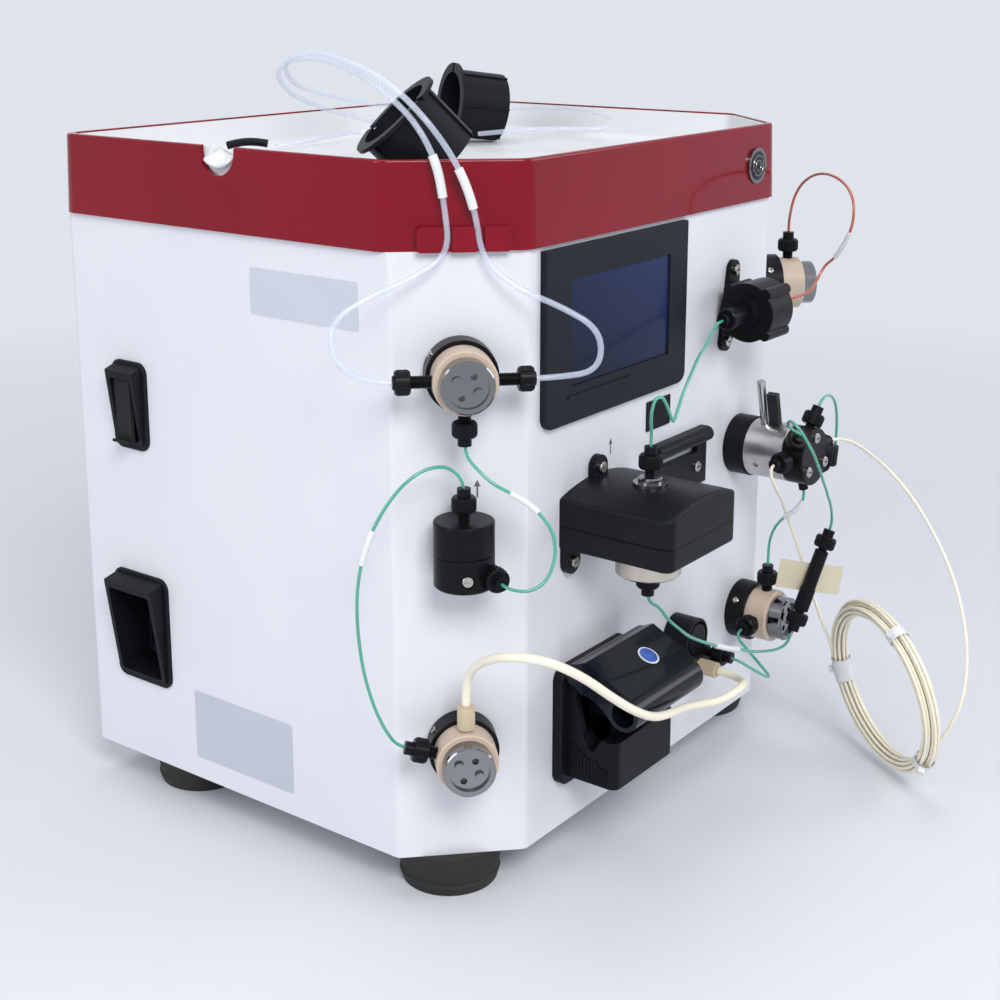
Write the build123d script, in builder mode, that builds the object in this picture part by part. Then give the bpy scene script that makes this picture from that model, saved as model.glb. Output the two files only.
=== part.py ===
"""Benchtop liquid chromatography system: a case on four feet with a tray in its lid, a touch screen,
five valves, a pump, a mixer, two detectors and the tubing that joins them. Millimetres, +Z up.

X runs to the right along the front and Y towards the back. The solids are drawn with the middle of
the case over the origin, every fitted piece on a plane of the face that carries it, and move as one
when they are saved, so that the origin comes under the middle of all rigid pieces together."""
from build123d import *
import os
from math import cos, pi, radians, sin, sqrt, tan

# Case
case_width = 360
case_depth = 300
case_height = 406
foot_height = 24
chamfer_run = 50
sheet = 2
bend_radius = 5
seat_gap = 0.3
panel_y = -case_depth / 2
rear_y = case_depth / 2
left_x = -case_width / 2
right_x = case_width / 2
diagonal = sqrt(0.5)

# Rim and tray
rim_height = 46
rim_overhang = 2.5
rim_wall = 3
rim_taper = 2
rim_corner = 12
rim_chamfer_run = 56
rim_z = case_height - rim_height
rim_inner_run = rim_chamfer_run - (2 - sqrt(2)) * (rim_wall + tan(radians(rim_taper)) * rim_height)
tray_wall = 2.5
tray_depth = 21
notch_y = 20
notch_width = 26
notch_depth = 16
clip_along = 2.3
clip_width = 48
clip_height = 13
clip_proud = 2.5
clip_slot_width = 4.2
clip_slot_spacing = 16.6
badge_radius = 11
badge_thickness = 2
badge_sink = 1.2
badge_x = right_x - 73
badge_z = rim_z + 21.5

# Feet
foot_top_radius = 31
foot_bottom_radius = 27
foot_x = 141
foot_front_y = -105
foot_rear_y = 95

# Vents in the bottom and rear
vent_pitch = 16
vent_count = 11
vent_length = 46
vent_width = 5
rear_vent_z = case_height - 116
rear_return = 14

# Display
display_x = -47.5
display_width = 143
display_top_z = 357.5
display_height = 96
display_proud = 4
display_corner = 7
glass_x = -46
glass_z = 311
glass_width = 100
glass_height = 58.5
glass_recess = 1.2
glass_thickness = 1.8
glass_rim = 2.5
ridge_length = 62
ridge_z = 276
ridge_x = -68

# Rotary valves
collar_radius = 19
collar_depth = 13
valve_body_radius = 16.75
valve_body_depth = 15
valve_cap_radius = 13.9
valve_cap_depth = 9
valve_cap_hollow_radius = 10.8
valve_cap_hollow_depth = 2
valve_screw_radius = 2.6
valve_screw_circle = 6.2
top_row_z = 297.7
bottom_row_z = 91.3
wash_x = 107.8
outlet_collar_depth = 17.5

# Finger-tight fittings
fitting_stub_radius = 2.9
fitting_stub_length = 4.5
fitting_head_radius = 6.3
fitting_head_length = 8
fitting_tail_radius = 3.6
fitting_tail_length = 4.5
fitting_bore_radius = 1.1
fitting_bore_depth = 3
large_stub_length = 10.5
large_tail_length = 1
large_bore_radius = 1.8
nut_length = 8
knurl_radius = 4.6
knurl_length = 12
knurl_tail = 1.5
port_depth = 3

# Mixer
mixer_radius = 16
mixer_top_z = 223
mixer_seam_z = 205.5
mixer_bottom_z = 187.3
mixer_port_side = 11.5
mixer_port_turn = 14
mixer_port_z = 194.5
mixer_boss_length = 9

# Optical detector
optics_left = -100
optics_right = -28
optics_depth = 70
optics_seam_z = 204
optics_bottom_z = 190.8
optics_edge_z = 220
optics_crown = 5.5
optics_corner = 6
optics_wall = 2.5
optics_cell_y = -35
optics_cell_radius = 18.2
optics_cell_bottom_z = 174.5
optics_lug_width = 14
optics_lug_thickness = 4
optics_upper_lug_x = -65.5
optics_lower_lug_x = -92
optics_lug_reach = 19
gland_radius = 9.4
gland_height = 5
gland_seat_depth = 0.5

# Column holder and column cover
holder_left = -8
holder_right = 52
holder_bottom_z = 193
holder_top_z = 227
holder_thickness = 4
holder_bar_radius = 4.5
holder_slot_left = 1
holder_slot_right = 41
holder_slot_z = 219
holder_slot_height = 4.5
holder_screw_x = 39.7
holder_screw_z = 205.1
cover_x = 0
cover_z = 246.5
cover_width = 25.5
cover_height = 17.5

# Conductivity cell
cell_x = 63
cell_length = 26
cell_y = -22
cell_z = 298.3
cell_radius = 18
cell_lobe_radius = 3.6
cell_lobe_circle = 17.5
nozzle_base_radius = 10
nozzle_base_length = 6
nozzle_neck_radius = 5.6
nozzle_neck_length = 10
cell_lug_radius = 6.2
cell_upper_lug = (83, 320)
cell_lower_lug = (75, 276.5)

# Injection valve
injection_x = 98.2
injection_z = 205.9
injection_collar_depth = 13.4
injection_radius = 18
injection_barrel_length = 26.4
injection_stator_length = 14.3
injection_core_radius = 11.95
injection_barrel_bore = 12
injection_handle_angle = 104
injection_handle_place = 21.5
injection_set_screw_angle = 202
injection_stop_place = 29
injection_stop_length = 22
injection_stop_thickness = 4
injection_stop_width = 7
handle_seat_depth = 0.5
injection_handle_radius = 2.9
injection_handle_tip = 47
injection_port_start = 15
injection_port_place = 5
injection_port_angles = (62, 4, -26, -84, 180, 140)
injection_port_tilts = (10, 10, 10, 10, -10, 35)
hidden_port = 3

# Flow restrictor, hung on its tubes
restrictor_foot = (99.6, -194, 88.2)
restrictor_head = (123.8, -205, 151.5)
restrictor_upper_radius = 4.4
restrictor_lower_radius = 4.9
restrictor_lower_length = 15
restrictor_stub = 1.5

# Pressure sensor
sensor_x = 25.3
sensor_z = 100.5
sensor_radius = 12.8
sensor_depth = 17
sensor_recess_radius = 9.5
sensor_recess_depth = 3
port_block_x = 31.5
port_block_z = 85.5
port_block_width = 23
port_block_height = 14
port_block_corner = 4
pump_port_x = 26.5
pump_port_z = 83
wash_port_x = 38.2
wash_port_z = 87.9

# Peristaltic pump
pump_left = -105
pump_right = -33
pump_flange_bottom_z = 51.5
pump_flange_top_z = 122
pump_flange_thickness = 6
pump_body_left = -98.5
pump_body_right = -36.5
pump_body_bottom_z = 57
pump_body_top_z = 84.8
pump_body_depth = 38
pump_notch_y = -22
pump_notch_width = 13
pump_notch_depth = 8
rotor_x = -65.5
rotor_z = 88
rotor_well_radius = 23.3
rotor_front = -27
rotor_back = -9
rotor_hub_radius = 9
roller_radius = 6
roller_orbit = 14.5
roller_count = 3
roller_pin_radius = 1.5
roller_clearance = 0.05
rotor_disc_thickness = 2.5
shaft_radius = 3
shaft_clearance = 0.06
lid_left = -102.5
lid_right = -32.5
lid_wall = 3.5
lid_skin = 3
lid_roll_radius = 9.5
lid_roll_bore = 7
knuckle_radius = 6.5
ear_radius = 4
cheek_width = 4
hinge_y = -13
hinge_z = 121
hinge_pin_radius = 2
lid_open_angle = 21
track_width = 44
track_rise = 6.7
motor_radius = 28
motor_length = 62

# Left side recesses
power_y = 100.5
power_z = 110
power_width = 47
power_height = 70
power_flange = 2
scoop_margin = 5
scoop_wall = 2
scoop_corner = 5
scoop_end_margin = 7.5
scoop_drop = 2
power_lip = 12
power_depth = 24
usb_y = 101.2
usb_z = 249.5
usb_width = 29.5
usb_height = 53.5
usb_lip = 9
usb_depth = 16
usb_socket_width = 9
usb_socket_height = 15
usb_socket_depth = 6

# Tube holders lying in the tray
holder_sleeve_radius = 22.5
holder_sleeve_length = 35
holder_sleeve_wall = 2
holder_flange_radius = 26.5
holder_flange_thickness = 2

# Tubes, leads and the sample loop's coil
buffer_tube_diameter = 3.2
capillary_diameter = 1.8
pump_tube_diameter = 4.8
loop_diameter = 2
arc_share = 0.45
coil_centre = (108.5, -253.5, 62.5)
coil_axis = (0.818, -0.543, 0.189)
coil_radius = 52
coil_bundle_radius = 5.5

# Move of all solids when they are saved
origin_shift_x = 2.35
origin_shift_y = 33.75

# Small fasteners
screw_head_radius = 3.3
screw_head_height = 2.2
screw_slot = 1

os.makedirs("parts", exist_ok=True)


def front_plane(x, z, proud=0):
    """Plane on the front panel: local X to the right, Y up, Z out towards the user."""
    return Plane(origin=(x, panel_y - proud, z), x_dir=(1, 0, 0), z_dir=(0, -1, 0))


def left_corner_plane(along, z, proud=0):
    """Plane on the left front corner face; along runs to the right from the face's middle."""
    middle_x = left_x + chamfer_run / 2
    middle_y = panel_y + chamfer_run / 2
    origin = (
        middle_x + diagonal * (along - proud),
        middle_y - diagonal * (along + proud),
        z,
    )
    return Plane(origin=origin, x_dir=(diagonal, -diagonal, 0), z_dir=(-diagonal, -diagonal, 0))


def right_corner_plane(along, z, proud=0):
    """Plane on the right front corner face; along runs to the right from the face's middle."""
    middle_x = right_x - chamfer_run / 2
    middle_y = panel_y + chamfer_run / 2
    origin = (
        middle_x + diagonal * (along + proud),
        middle_y + diagonal * (along - proud),
        z,
    )
    return Plane(origin=origin, x_dir=(diagonal, diagonal, 0), z_dir=(diagonal, -diagonal, 0))


def left_wall_plane(y, z, proud=0):
    """Plane on the left wall: local X towards the front, Y up, Z out to the left."""
    return Plane(origin=(left_x - proud, y, z), x_dir=(0, -1, 0), z_dir=(-1, 0, 0))


def turned(plane, right=0, up=0, out=0, angle=0, tilt=0):
    """Plane whose Z points at the given angle in the carrying plane, leaning out of it by tilt."""
    start = plane.from_local_coords(Vector(right, up, out))
    level = cos(radians(tilt))
    direction = plane.x_dir * (level * cos(radians(angle)))
    direction = direction + plane.y_dir * (level * sin(radians(angle)))
    direction = direction + plane.z_dir * sin(radians(tilt))
    side = direction.cross(plane.z_dir)
    return Plane(origin=start, x_dir=side, z_dir=direction)


def case_outline(extra, run, radius):
    """Plan of the case: a rectangle with two cut front corners, all bends rounded."""
    with BuildSketch() as outline:
        with BuildLine():
            Polyline(
                (left_x - extra, rear_y + extra),
                (left_x - extra, panel_y + run - extra * tan(radians(22.5))),
                (left_x + chamfer_run - extra * tan(radians(22.5)), panel_y - extra),
                (right_x - chamfer_run + extra * tan(radians(22.5)), panel_y - extra),
                (right_x + extra, panel_y + run - extra * tan(radians(22.5))),
                (right_x + extra, rear_y + extra),
                close=True,
            )
        make_face()
        fillet(outline.vertices(), radius)
    return outline.sketch


def disc(plane, radius, height, hollow_radius=0):
    """Disc or ring standing on a plane."""
    with BuildPart() as piece:
        with BuildSketch(plane):
            Circle(radius)
            if hollow_radius:
                Circle(hollow_radius, mode=Mode.SUBTRACT)
        extrude(amount=height)
    return piece.part


def slotted_screw(plane):
    """Pan head seen from outside, with its driver slot and a short shank in the panel behind it."""
    with BuildPart() as screw:
        with BuildSketch(plane):
            Circle(screw_head_radius)
        extrude(amount=screw_head_height)
        chamfer(screw.edges().sort_by(Axis(plane.origin, plane.z_dir))[-1], 0.6)
        with BuildSketch(plane.offset(screw_head_height)):
            Rectangle(screw_head_radius, screw_slot)
        extrude(amount=-screw_head_height / 2, mode=Mode.SUBTRACT)
    return screw.part


def finger_fitting(plane, stub=fitting_stub_length, tail=fitting_tail_length, bore=fitting_bore_radius):
    """Threaded stub, finger-tight head and tail in one turned profile, bored for its tube."""
    head_end = stub + fitting_head_length
    tip = head_end + tail
    with BuildPart() as fitting:
        with BuildSketch(Plane(origin=plane.origin, x_dir=plane.x_dir, z_dir=plane.y_dir * -1)):
            with BuildLine():
                Polyline(
                    (0, 0),
                    (fitting_stub_radius, 0),
                    (fitting_stub_radius, stub),
                    (fitting_head_radius - 0.7, stub),
                    (fitting_head_radius, stub + 0.7),
                    (fitting_head_radius, head_end - 0.7),
                    (fitting_head_radius - 0.7, head_end),
                    (fitting_tail_radius, head_end),
                    (fitting_tail_radius, tip),
                    (bore, tip),
                    (bore, tip - fitting_bore_depth),
                    (0, tip - fitting_bore_depth),
                    close=True,
                )
            make_face()
        revolve(axis=Axis(plane.origin, plane.z_dir))
    return fitting.part


def headless_nut(plane):
    """Short nut without a finger head, sunk in its port and bored for its tube."""
    with BuildPart() as nut:
        with BuildSketch(plane):
            Circle(fitting_stub_radius)
        extrude(amount=nut_length)
        with BuildSketch(plane.offset(nut_length)):
            Circle(fitting_bore_radius)
        extrude(amount=-fitting_bore_depth, mode=Mode.SUBTRACT)
    return nut.part


def valve_ports(plane, collar, angles):
    """Planes at the ports in a rotary valve's body, at the given angles round its axis."""
    middle = collar + valve_body_depth / 2
    start = valve_body_radius - port_depth
    planes = []
    for angle in angles:
        right = start * cos(radians(angle))
        up = start * sin(radians(angle))
        planes.append(turned(plane, right, up, middle, angle))
    return planes


def valve_body(plane, collar, ports):
    """Machined plastic stator of a rotary valve with flat-bottomed ports in its side."""
    with BuildPart() as body:
        with BuildSketch(plane.offset(collar)):
            Circle(valve_body_radius)
        extrude(amount=valve_body_depth)
        chamfer(body.edges().sort_by(Axis(plane.origin, plane.z_dir))[-1], 0.8)
        for port in ports:
            with BuildSketch(port):
                Circle(fitting_stub_radius + seat_gap)
            extrude(amount=port_depth * 2, mode=Mode.SUBTRACT)
    return body.part


def valve_cap(plane, collar):
    """Metal clamp cap: a ring with a sunk face, two bolts and two spanner holes."""
    base = collar + valve_body_depth
    floor = base + valve_cap_depth - valve_cap_hollow_depth
    with BuildPart() as cap:
        with BuildSketch(plane.offset(base)):
            Circle(valve_cap_radius)
        extrude(amount=valve_cap_depth)
        chamfer(cap.edges().sort_by(Axis(plane.origin, plane.z_dir))[-1], 0.7)
        with BuildSketch(plane.offset(floor)):
            Circle(valve_cap_hollow_radius)
        extrude(amount=valve_cap_depth, mode=Mode.SUBTRACT)
        with BuildSketch(plane.offset(floor)):
            with PolarLocations(valve_screw_circle, 2, start_angle=-30):
                Circle(valve_screw_radius)
        extrude(amount=valve_cap_hollow_depth)
        with BuildSketch(plane.offset(floor)):
            with PolarLocations(valve_screw_circle, 2, start_angle=60):
                Circle(valve_screw_radius * 0.7)
        extrude(amount=-valve_cap_depth / 2, mode=Mode.SUBTRACT)
    return cap.part


# Case shell, folded from one sheet and open at the back, top and bottom
with BuildPart() as housing_shell:
    with BuildSketch(Plane.XY.offset(foot_height)):
        add(case_outline(0, chamfer_run, bend_radius))
        offset(amount=-sheet, kind=Kind.INTERSECTION, mode=Mode.SUBTRACT)
        with Locations((0, rear_y)):
            Rectangle(2 * case_width, 2 * rear_return, mode=Mode.SUBTRACT)
    extrude(amount=rim_z - foot_height)
    with BuildSketch(left_wall_plane(power_y, power_z, sheet)):
        Rectangle(power_width - 8, power_height - 8)
    extrude(amount=-3 * sheet, mode=Mode.SUBTRACT)
    with BuildSketch(left_wall_plane(usb_y, usb_z, sheet)):
        Rectangle(usb_width - 8, usb_height - 8)
    extrude(amount=-3 * sheet, mode=Mode.SUBTRACT)
    with BuildSketch(front_plane(rotor_x, rotor_z, sheet)):
        Circle(shaft_radius + 4)
    extrude(amount=-3 * sheet, mode=Mode.SUBTRACT)
    with BuildSketch(front_plane(injection_x, injection_z, sheet)):
        Circle(injection_core_radius + seat_gap)
    extrude(amount=-3 * sheet, mode=Mode.SUBTRACT)
housing_shell.part.label = "housing_shell"

# Bottom plate inside the shell, with its vents
with BuildPart() as base_plate:
    with BuildSketch(Plane.XY.offset(foot_height)):
        add(case_outline(0, chamfer_run, bend_radius))
        offset(amount=-sheet, kind=Kind.INTERSECTION, mode=Mode.REPLACE)
        with GridLocations(vent_pitch, 0, vent_count, 1):
            SlotOverall(vent_length, vent_width, rotation=90, mode=Mode.SUBTRACT)
    extrude(amount=sheet)
base_plate.part.label = "base_plate"

# Rear panel, a shallow pan whose returns meet the shell's side walls
with BuildPart() as rear_panel:
    with BuildSketch(Plane.XY.offset(foot_height)):
        add(case_outline(0, chamfer_run, bend_radius))
        offset(amount=-sheet, kind=Kind.INTERSECTION, mode=Mode.SUBTRACT)
        with Locations((0, rear_y)):
            Rectangle(2 * case_width, 2 * rear_return, mode=Mode.INTERSECT)
    extrude(amount=rim_z - foot_height)
    with BuildSketch(Plane.XZ.offset(-rear_y)):
        with Locations((0, rear_vent_z)):
            with GridLocations(vent_pitch, 0, vent_count, 1):
                SlotOverall(vent_length, vent_width, rotation=90)
    extrude(amount=sheet, mode=Mode.SUBTRACT)
rear_panel.part.label = "rear_panel"

# Moulded rim round the top: drafted band with a drain notch, a clip for two tubes and a badge seat
with BuildPart() as top_rim:
    with BuildSketch(Plane.XY.offset(rim_z)):
        add(case_outline(rim_overhang, rim_chamfer_run, rim_corner))
    extrude(amount=rim_height, taper=rim_taper)
    fillet(top_rim.faces().sort_by(Axis.Z)[-1].edges(), 1.5)
    with BuildSketch(left_corner_plane(clip_along, rim_z + clip_height / 2, -rim_wall)):
        RectangleRounded(clip_width, clip_height, 2)
    extrude(amount=rim_wall + rim_overhang + clip_proud)
    with BuildSketch(Plane.XY.offset(rim_z)):
        add(case_outline(rim_overhang - rim_wall - tan(radians(rim_taper)) * rim_height, rim_inner_run, rim_corner))
    extrude(amount=rim_height, mode=Mode.SUBTRACT)
    with BuildSketch(Plane.YZ.offset(left_x - 2 * rim_overhang)):
        with Locations((notch_y, case_height)):
            SlotOverall(2 * notch_depth, notch_width, rotation=90)
    extrude(amount=4 * rim_overhang + rim_wall, mode=Mode.SUBTRACT)
    with BuildSketch(left_corner_plane(clip_along, rim_z, rim_overhang)):
        with GridLocations(clip_slot_spacing, 0, 2, 1):
            Rectangle(clip_slot_width, 2 * clip_height)
    extrude(amount=4 * clip_proud, mode=Mode.SUBTRACT)
    with BuildSketch(front_plane(badge_x, badge_z, rim_overhang - badge_sink)):
        Circle(badge_radius + seat_gap / 2)
    extrude(amount=2 * rim_overhang, mode=Mode.SUBTRACT)
top_rim.part.label = "top_rim"

# Round badge plate in its seat, left plain
badge_disc = disc(front_plane(badge_x, badge_z, rim_overhang - badge_sink), badge_radius, badge_thickness)
badge_disc.label = "badge_disc"

# Vacuum-formed tray that hangs inside the rim, with a spout lip over the notch
tray_outline_extra = rim_overhang - rim_wall - tan(radians(rim_taper)) * rim_height
tray_top = case_height - 1
with BuildPart() as buffer_tray:
    with BuildSketch(Plane.XY.offset(case_height - tray_depth - tray_wall)):
        add(case_outline(tray_outline_extra - seat_gap, rim_inner_run, rim_corner))
    extrude(amount=tray_depth + tray_wall - 1)
    with BuildSketch(Plane.XY.offset(case_height - tray_depth)):
        add(case_outline(tray_outline_extra - seat_gap - tray_wall, rim_inner_run, rim_corner))
    extrude(amount=tray_depth, mode=Mode.SUBTRACT)
    with BuildSketch(Plane.YZ.offset(left_x - 2 * rim_overhang)):
        with Locations((notch_y, case_height)):
            SlotOverall(2 * (notch_depth - 5), notch_width - 8, rotation=90)
    extrude(amount=4 * rim_overhang + 4 * rim_wall, mode=Mode.SUBTRACT)
    fillet(buffer_tray.faces().filter_by(Axis.Z).sort_by(Axis.Z)[1].edges(), 4)
buffer_tray.part.label = "buffer_tray"

# Four moulded feet, each a drafted cup with a rib line near the bench
with BuildPart() as feet:
    for foot_y in (foot_front_y, foot_rear_y):
        for side in (-1, 1):
            foot_plane = Plane(origin=(side * foot_x, foot_y, 0))
            with BuildSketch(Plane(origin=foot_plane.origin, x_dir=(1, 0, 0), z_dir=(0, -1, 0))):
                with BuildLine():
                    Polyline(
                        (0, 2),
                        (foot_bottom_radius - 3, 2),
                        (foot_bottom_radius - 3, 0),
                        (foot_bottom_radius, 0),
                        (foot_bottom_radius + 1.5, 5),
                        (foot_bottom_radius + 0.5, 6),
                        (foot_top_radius, foot_height),
                        (0, foot_height),
                        close=True,
                    )
                make_face()
            revolve(axis=Axis(foot_plane.origin, (0, 0, 1)))
feet.part.label = "feet"

# Display bezel with its window and the narrow ridge below it
bezel_plane = front_plane(display_x, display_top_z - display_height / 2)
with BuildPart() as display_bezel:
    with BuildSketch(bezel_plane):
        RectangleRounded(display_width, display_height, display_corner)
        with Locations((0, display_height / 4)):
            Rectangle(display_width, display_height / 2)
    extrude(amount=display_proud)
    chamfer(display_bezel.faces().sort_by(Axis.Y)[0].edges(), 0.8)
    with BuildSketch(front_plane(glass_x, glass_z)):
        Rectangle(glass_width, glass_height)
    extrude(amount=display_proud, mode=Mode.SUBTRACT)
    with BuildSketch(front_plane(glass_x, glass_z)):
        Rectangle(glass_width + 2 * glass_rim, glass_height + 2 * glass_rim)
    extrude(amount=display_proud - glass_recess, mode=Mode.SUBTRACT)
    with BuildSketch(front_plane(ridge_x, ridge_z, display_proud)):
        SlotOverall(ridge_length, 2)
    extrude(amount=0.8)
display_bezel.part.label = "display_bezel"

# Touch screen behind the bezel's window
with BuildPart() as touch_screen:
    with BuildSketch(front_plane(glass_x, glass_z)):
        Rectangle(glass_width + 2 * (glass_rim - seat_gap), glass_height + 2 * (glass_rim - seat_gap))
    extrude(amount=display_proud - glass_recess)
touch_screen.part.label = "touch_screen"

# The rotary valves: two on the left corner, one on the front and one on the right corner
buffer_plane = left_corner_plane(0, top_row_z)
sample_plane = left_corner_plane(0, bottom_row_z)
wash_plane = front_plane(wash_x, bottom_row_z)
outlet_plane = right_corner_plane(0, top_row_z)
buffer_ports = valve_ports(buffer_plane, collar_depth, (0, 180, -90))
sample_ports = valve_ports(sample_plane, collar_depth, (90, 165))
wash_ports = valve_ports(wash_plane, collar_depth, (90, 180))
outlet_ports = valve_ports(outlet_plane, outlet_collar_depth, (90,))

# Stators of the four rotary valves
with BuildPart() as valve_bodies:
    add(valve_body(buffer_plane, collar_depth, buffer_ports))
    add(valve_body(sample_plane, collar_depth, sample_ports))
    add(valve_body(wash_plane, collar_depth, wash_ports))
    add(valve_body(outlet_plane, outlet_collar_depth, outlet_ports))
valve_bodies.part.label = "valve_bodies"

# Collars between the valves and the panels, with a small screw hole in the side of each
with BuildPart() as valve_collars:
    for carrier, depth in (
        (buffer_plane, collar_depth),
        (sample_plane, collar_depth),
        (wash_plane, collar_depth),
        (outlet_plane, outlet_collar_depth),
    ):
        add(disc(carrier, collar_radius, depth))
    chamfer(valve_collars.edges().filter_by(GeomType.CIRCLE), 0.5)
valve_collars.part.label = "valve_collars"

# Clamp caps on the outer ends of the valves
with BuildPart() as valve_caps:
    add(valve_cap(buffer_plane, collar_depth))
    add(valve_cap(sample_plane, collar_depth))
    add(valve_cap(wash_plane, collar_depth))
    add(valve_cap(outlet_plane, outlet_collar_depth))
valve_caps.part.label = "valve_caps"

# Mixer: a turned chamber screwed to a base that is bolted to the corner face
mixer_plane = left_corner_plane(0, mixer_bottom_z, mixer_radius)
mixer_axis = mixer_plane.origin
with BuildPart() as mixer_base:
    with BuildSketch(Plane(origin=mixer_axis)):
        Circle(mixer_radius)
    extrude(amount=mixer_seam_z - mixer_bottom_z)
    chamfer(mixer_base.edges().group_by(Axis.Z)[0], 1)
    with BuildSketch(left_corner_plane(0, (mixer_bottom_z + mixer_seam_z) / 2)):
        Rectangle(1.4 * mixer_radius, mixer_seam_z - mixer_bottom_z - 2)
    extrude(amount=mixer_radius)
    mixer_boss = turned(
        left_corner_plane(mixer_port_side, mixer_port_z, mixer_radius), angle=0, tilt=90 - mixer_port_turn
    )
    with BuildSketch(mixer_boss):
        Circle(fitting_head_radius - 0.5)
    extrude(amount=mixer_boss_length)
    with BuildSketch(mixer_boss.offset(mixer_boss_length)):
        Circle(fitting_head_radius + seat_gap)
    extrude(amount=mixer_radius, mode=Mode.SUBTRACT)
    with BuildSketch(left_corner_plane(0, mixer_port_z, 2 * mixer_radius)):
        Circle(screw_head_radius + 0.2)
    extrude(amount=-2.5, mode=Mode.SUBTRACT)
mixer_base.part.label = "mixer_base"
mixer_port = Plane(
    origin=mixer_boss.from_local_coords(Vector(0, 0, mixer_boss_length)), x_dir=mixer_boss.x_dir, z_dir=mixer_boss.z_dir
)

with BuildPart() as mixer_chamber:
    with BuildSketch(Plane(origin=mixer_axis).offset(mixer_seam_z - mixer_bottom_z)):
        Circle(mixer_radius)
    extrude(amount=mixer_top_z - mixer_seam_z)
    fillet(mixer_chamber.edges().group_by(Axis.Z)[-1], 1.2)
mixer_chamber.part.label = "mixer_chamber"
mixer_top = Plane(origin=(mixer_axis.X, mixer_axis.Y, mixer_top_z), x_dir=(diagonal, -diagonal, 0))

# Optical detector: two half covers parted at a seam, round a flow cell that shows below
optics_x = (optics_left + optics_right) / 2
optics_width = optics_right - optics_left
optics_y = panel_y + optics_cell_y
optics_middle_y = panel_y - optics_depth / 2


def optics_outline(inset):
    """Plan of the detector's cover, square at the panel and rounded at the front."""
    with BuildSketch() as outline:
        with Locations((optics_x, optics_middle_y)):
            Rectangle(optics_width - 2 * inset, optics_depth - 2 * inset)
        fillet(outline.vertices().group_by(Axis.Y)[0], optics_corner)
    return outline.sketch


def optics_lug(x, z, outward):
    """Screw lug flat on the panel, reaching up or down from the cover's edge."""
    with BuildPart() as lug:
        with BuildSketch(front_plane(x, z)):
            Circle(optics_lug_width / 2)
            with Locations((0, -outward * optics_lug_reach / 2)):
                Rectangle(optics_lug_width, optics_lug_reach)
        extrude(amount=optics_lug_thickness)
    return lug.part


optics_upper_lug_z = optics_edge_z + optics_lug_reach - optics_lug_width / 2 - 2
optics_lower_lug_z = optics_bottom_z - 8.5
optics_gland_base = optics_edge_z + optics_crown - gland_seat_depth
crown_half = optics_width / 2 + 1
crown_radius = (crown_half**2 + optics_crown**2) / (2 * optics_crown)

with BuildPart() as optics_upper_cover:
    with BuildSketch(Plane.XY.offset(optics_seam_z)):
        add(optics_outline(0))
    extrude(amount=optics_edge_z + optics_crown - optics_seam_z)
    with BuildSketch(Plane.XZ.offset(-panel_y)):
        with BuildLine():
            ThreePointArc(
                (optics_x - crown_half, optics_edge_z - 1),
                (optics_x, optics_edge_z + optics_crown),
                (optics_x + crown_half, optics_edge_z - 1),
            )
            Polyline(
                (optics_x + crown_half, optics_edge_z - 1),
                (optics_x + crown_half, optics_seam_z),
                (optics_x - crown_half, optics_seam_z),
                (optics_x - crown_half, optics_edge_z - 1),
            )
        make_face()
    extrude(amount=optics_depth, mode=Mode.INTERSECT)
    top_edges = optics_upper_cover.faces().sort_by(Axis.Z)[-1].edges()
    fillet(top_edges.filter_by(lambda edge: edge.center().Y < panel_y - 2), 2.2)
    with BuildSketch(Plane((optics_x, optics_y, optics_gland_base))):
        Circle(gland_radius + seat_gap)
    extrude(amount=optics_crown, mode=Mode.SUBTRACT)
    with BuildSketch(Plane.XY.offset(optics_seam_z)):
        with Locations((optics_x, optics_y)):
            Circle(optics_cell_radius + seat_gap)
    extrude(amount=optics_edge_z - optics_wall - optics_seam_z, mode=Mode.SUBTRACT)
    add(optics_lug(optics_upper_lug_x, optics_upper_lug_z, 1))
optics_upper_cover.part.label = "optics_upper_cover"

with BuildPart() as optics_lower_cover:
    with BuildSketch(Plane.XY.offset(optics_bottom_z)):
        add(optics_outline(0))
    extrude(amount=optics_seam_z - optics_bottom_z)
    bottom_edges = optics_lower_cover.faces().sort_by(Axis.Z)[0].edges()
    fillet(bottom_edges.filter_by(lambda edge: edge.center().Y < panel_y - 2), 2.2)
    with BuildSketch(Plane.XY.offset(optics_bottom_z)):
        with Locations((optics_x, optics_y)):
            Circle(optics_cell_radius + seat_gap)
    extrude(amount=optics_seam_z - optics_bottom_z, mode=Mode.SUBTRACT)
    add(optics_lug(optics_lower_lug_x, optics_lower_lug_z, -1))
optics_lower_cover.part.label = "optics_lower_cover"

# Flow cell body, a turned metal drum through both covers, with a threaded seat at each end
optics_cell_top = optics_edge_z - optics_wall
with BuildPart() as optics_flow_cell:
    with BuildSketch(Plane((optics_x, optics_y, optics_cell_bottom_z))):
        Circle(optics_cell_radius)
    extrude(amount=optics_cell_top - optics_cell_bottom_z)
    chamfer(optics_flow_cell.edges().group_by(Axis.Z)[0], 1)
optics_flow_cell.part.label = "optics_flow_cell"

# Plated gland ring that the upper tube fitting screws into
with BuildPart() as optics_gland:
    with BuildSketch(Plane((optics_x, optics_y, optics_gland_base))):
        Circle(gland_radius)
    extrude(amount=gland_height * 0.4)
    with BuildSketch(Plane((optics_x, optics_y, optics_gland_base + gland_height * 0.4))):
        Circle(gland_radius * 0.72)
    extrude(amount=gland_height * 0.6)
    chamfer(optics_gland.edges().group_by(Axis.Z)[-1], 0.8)
optics_gland.part.label = "optics_gland"
optics_top_port = Plane(origin=(optics_x, optics_y, optics_gland_base + gland_height), x_dir=(1, 0, 0))
optics_bottom_port = Plane(
    origin=(optics_x, optics_y, optics_cell_bottom_z), x_dir=(1, 0, 0), z_dir=(0, 0, -1)
)

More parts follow.
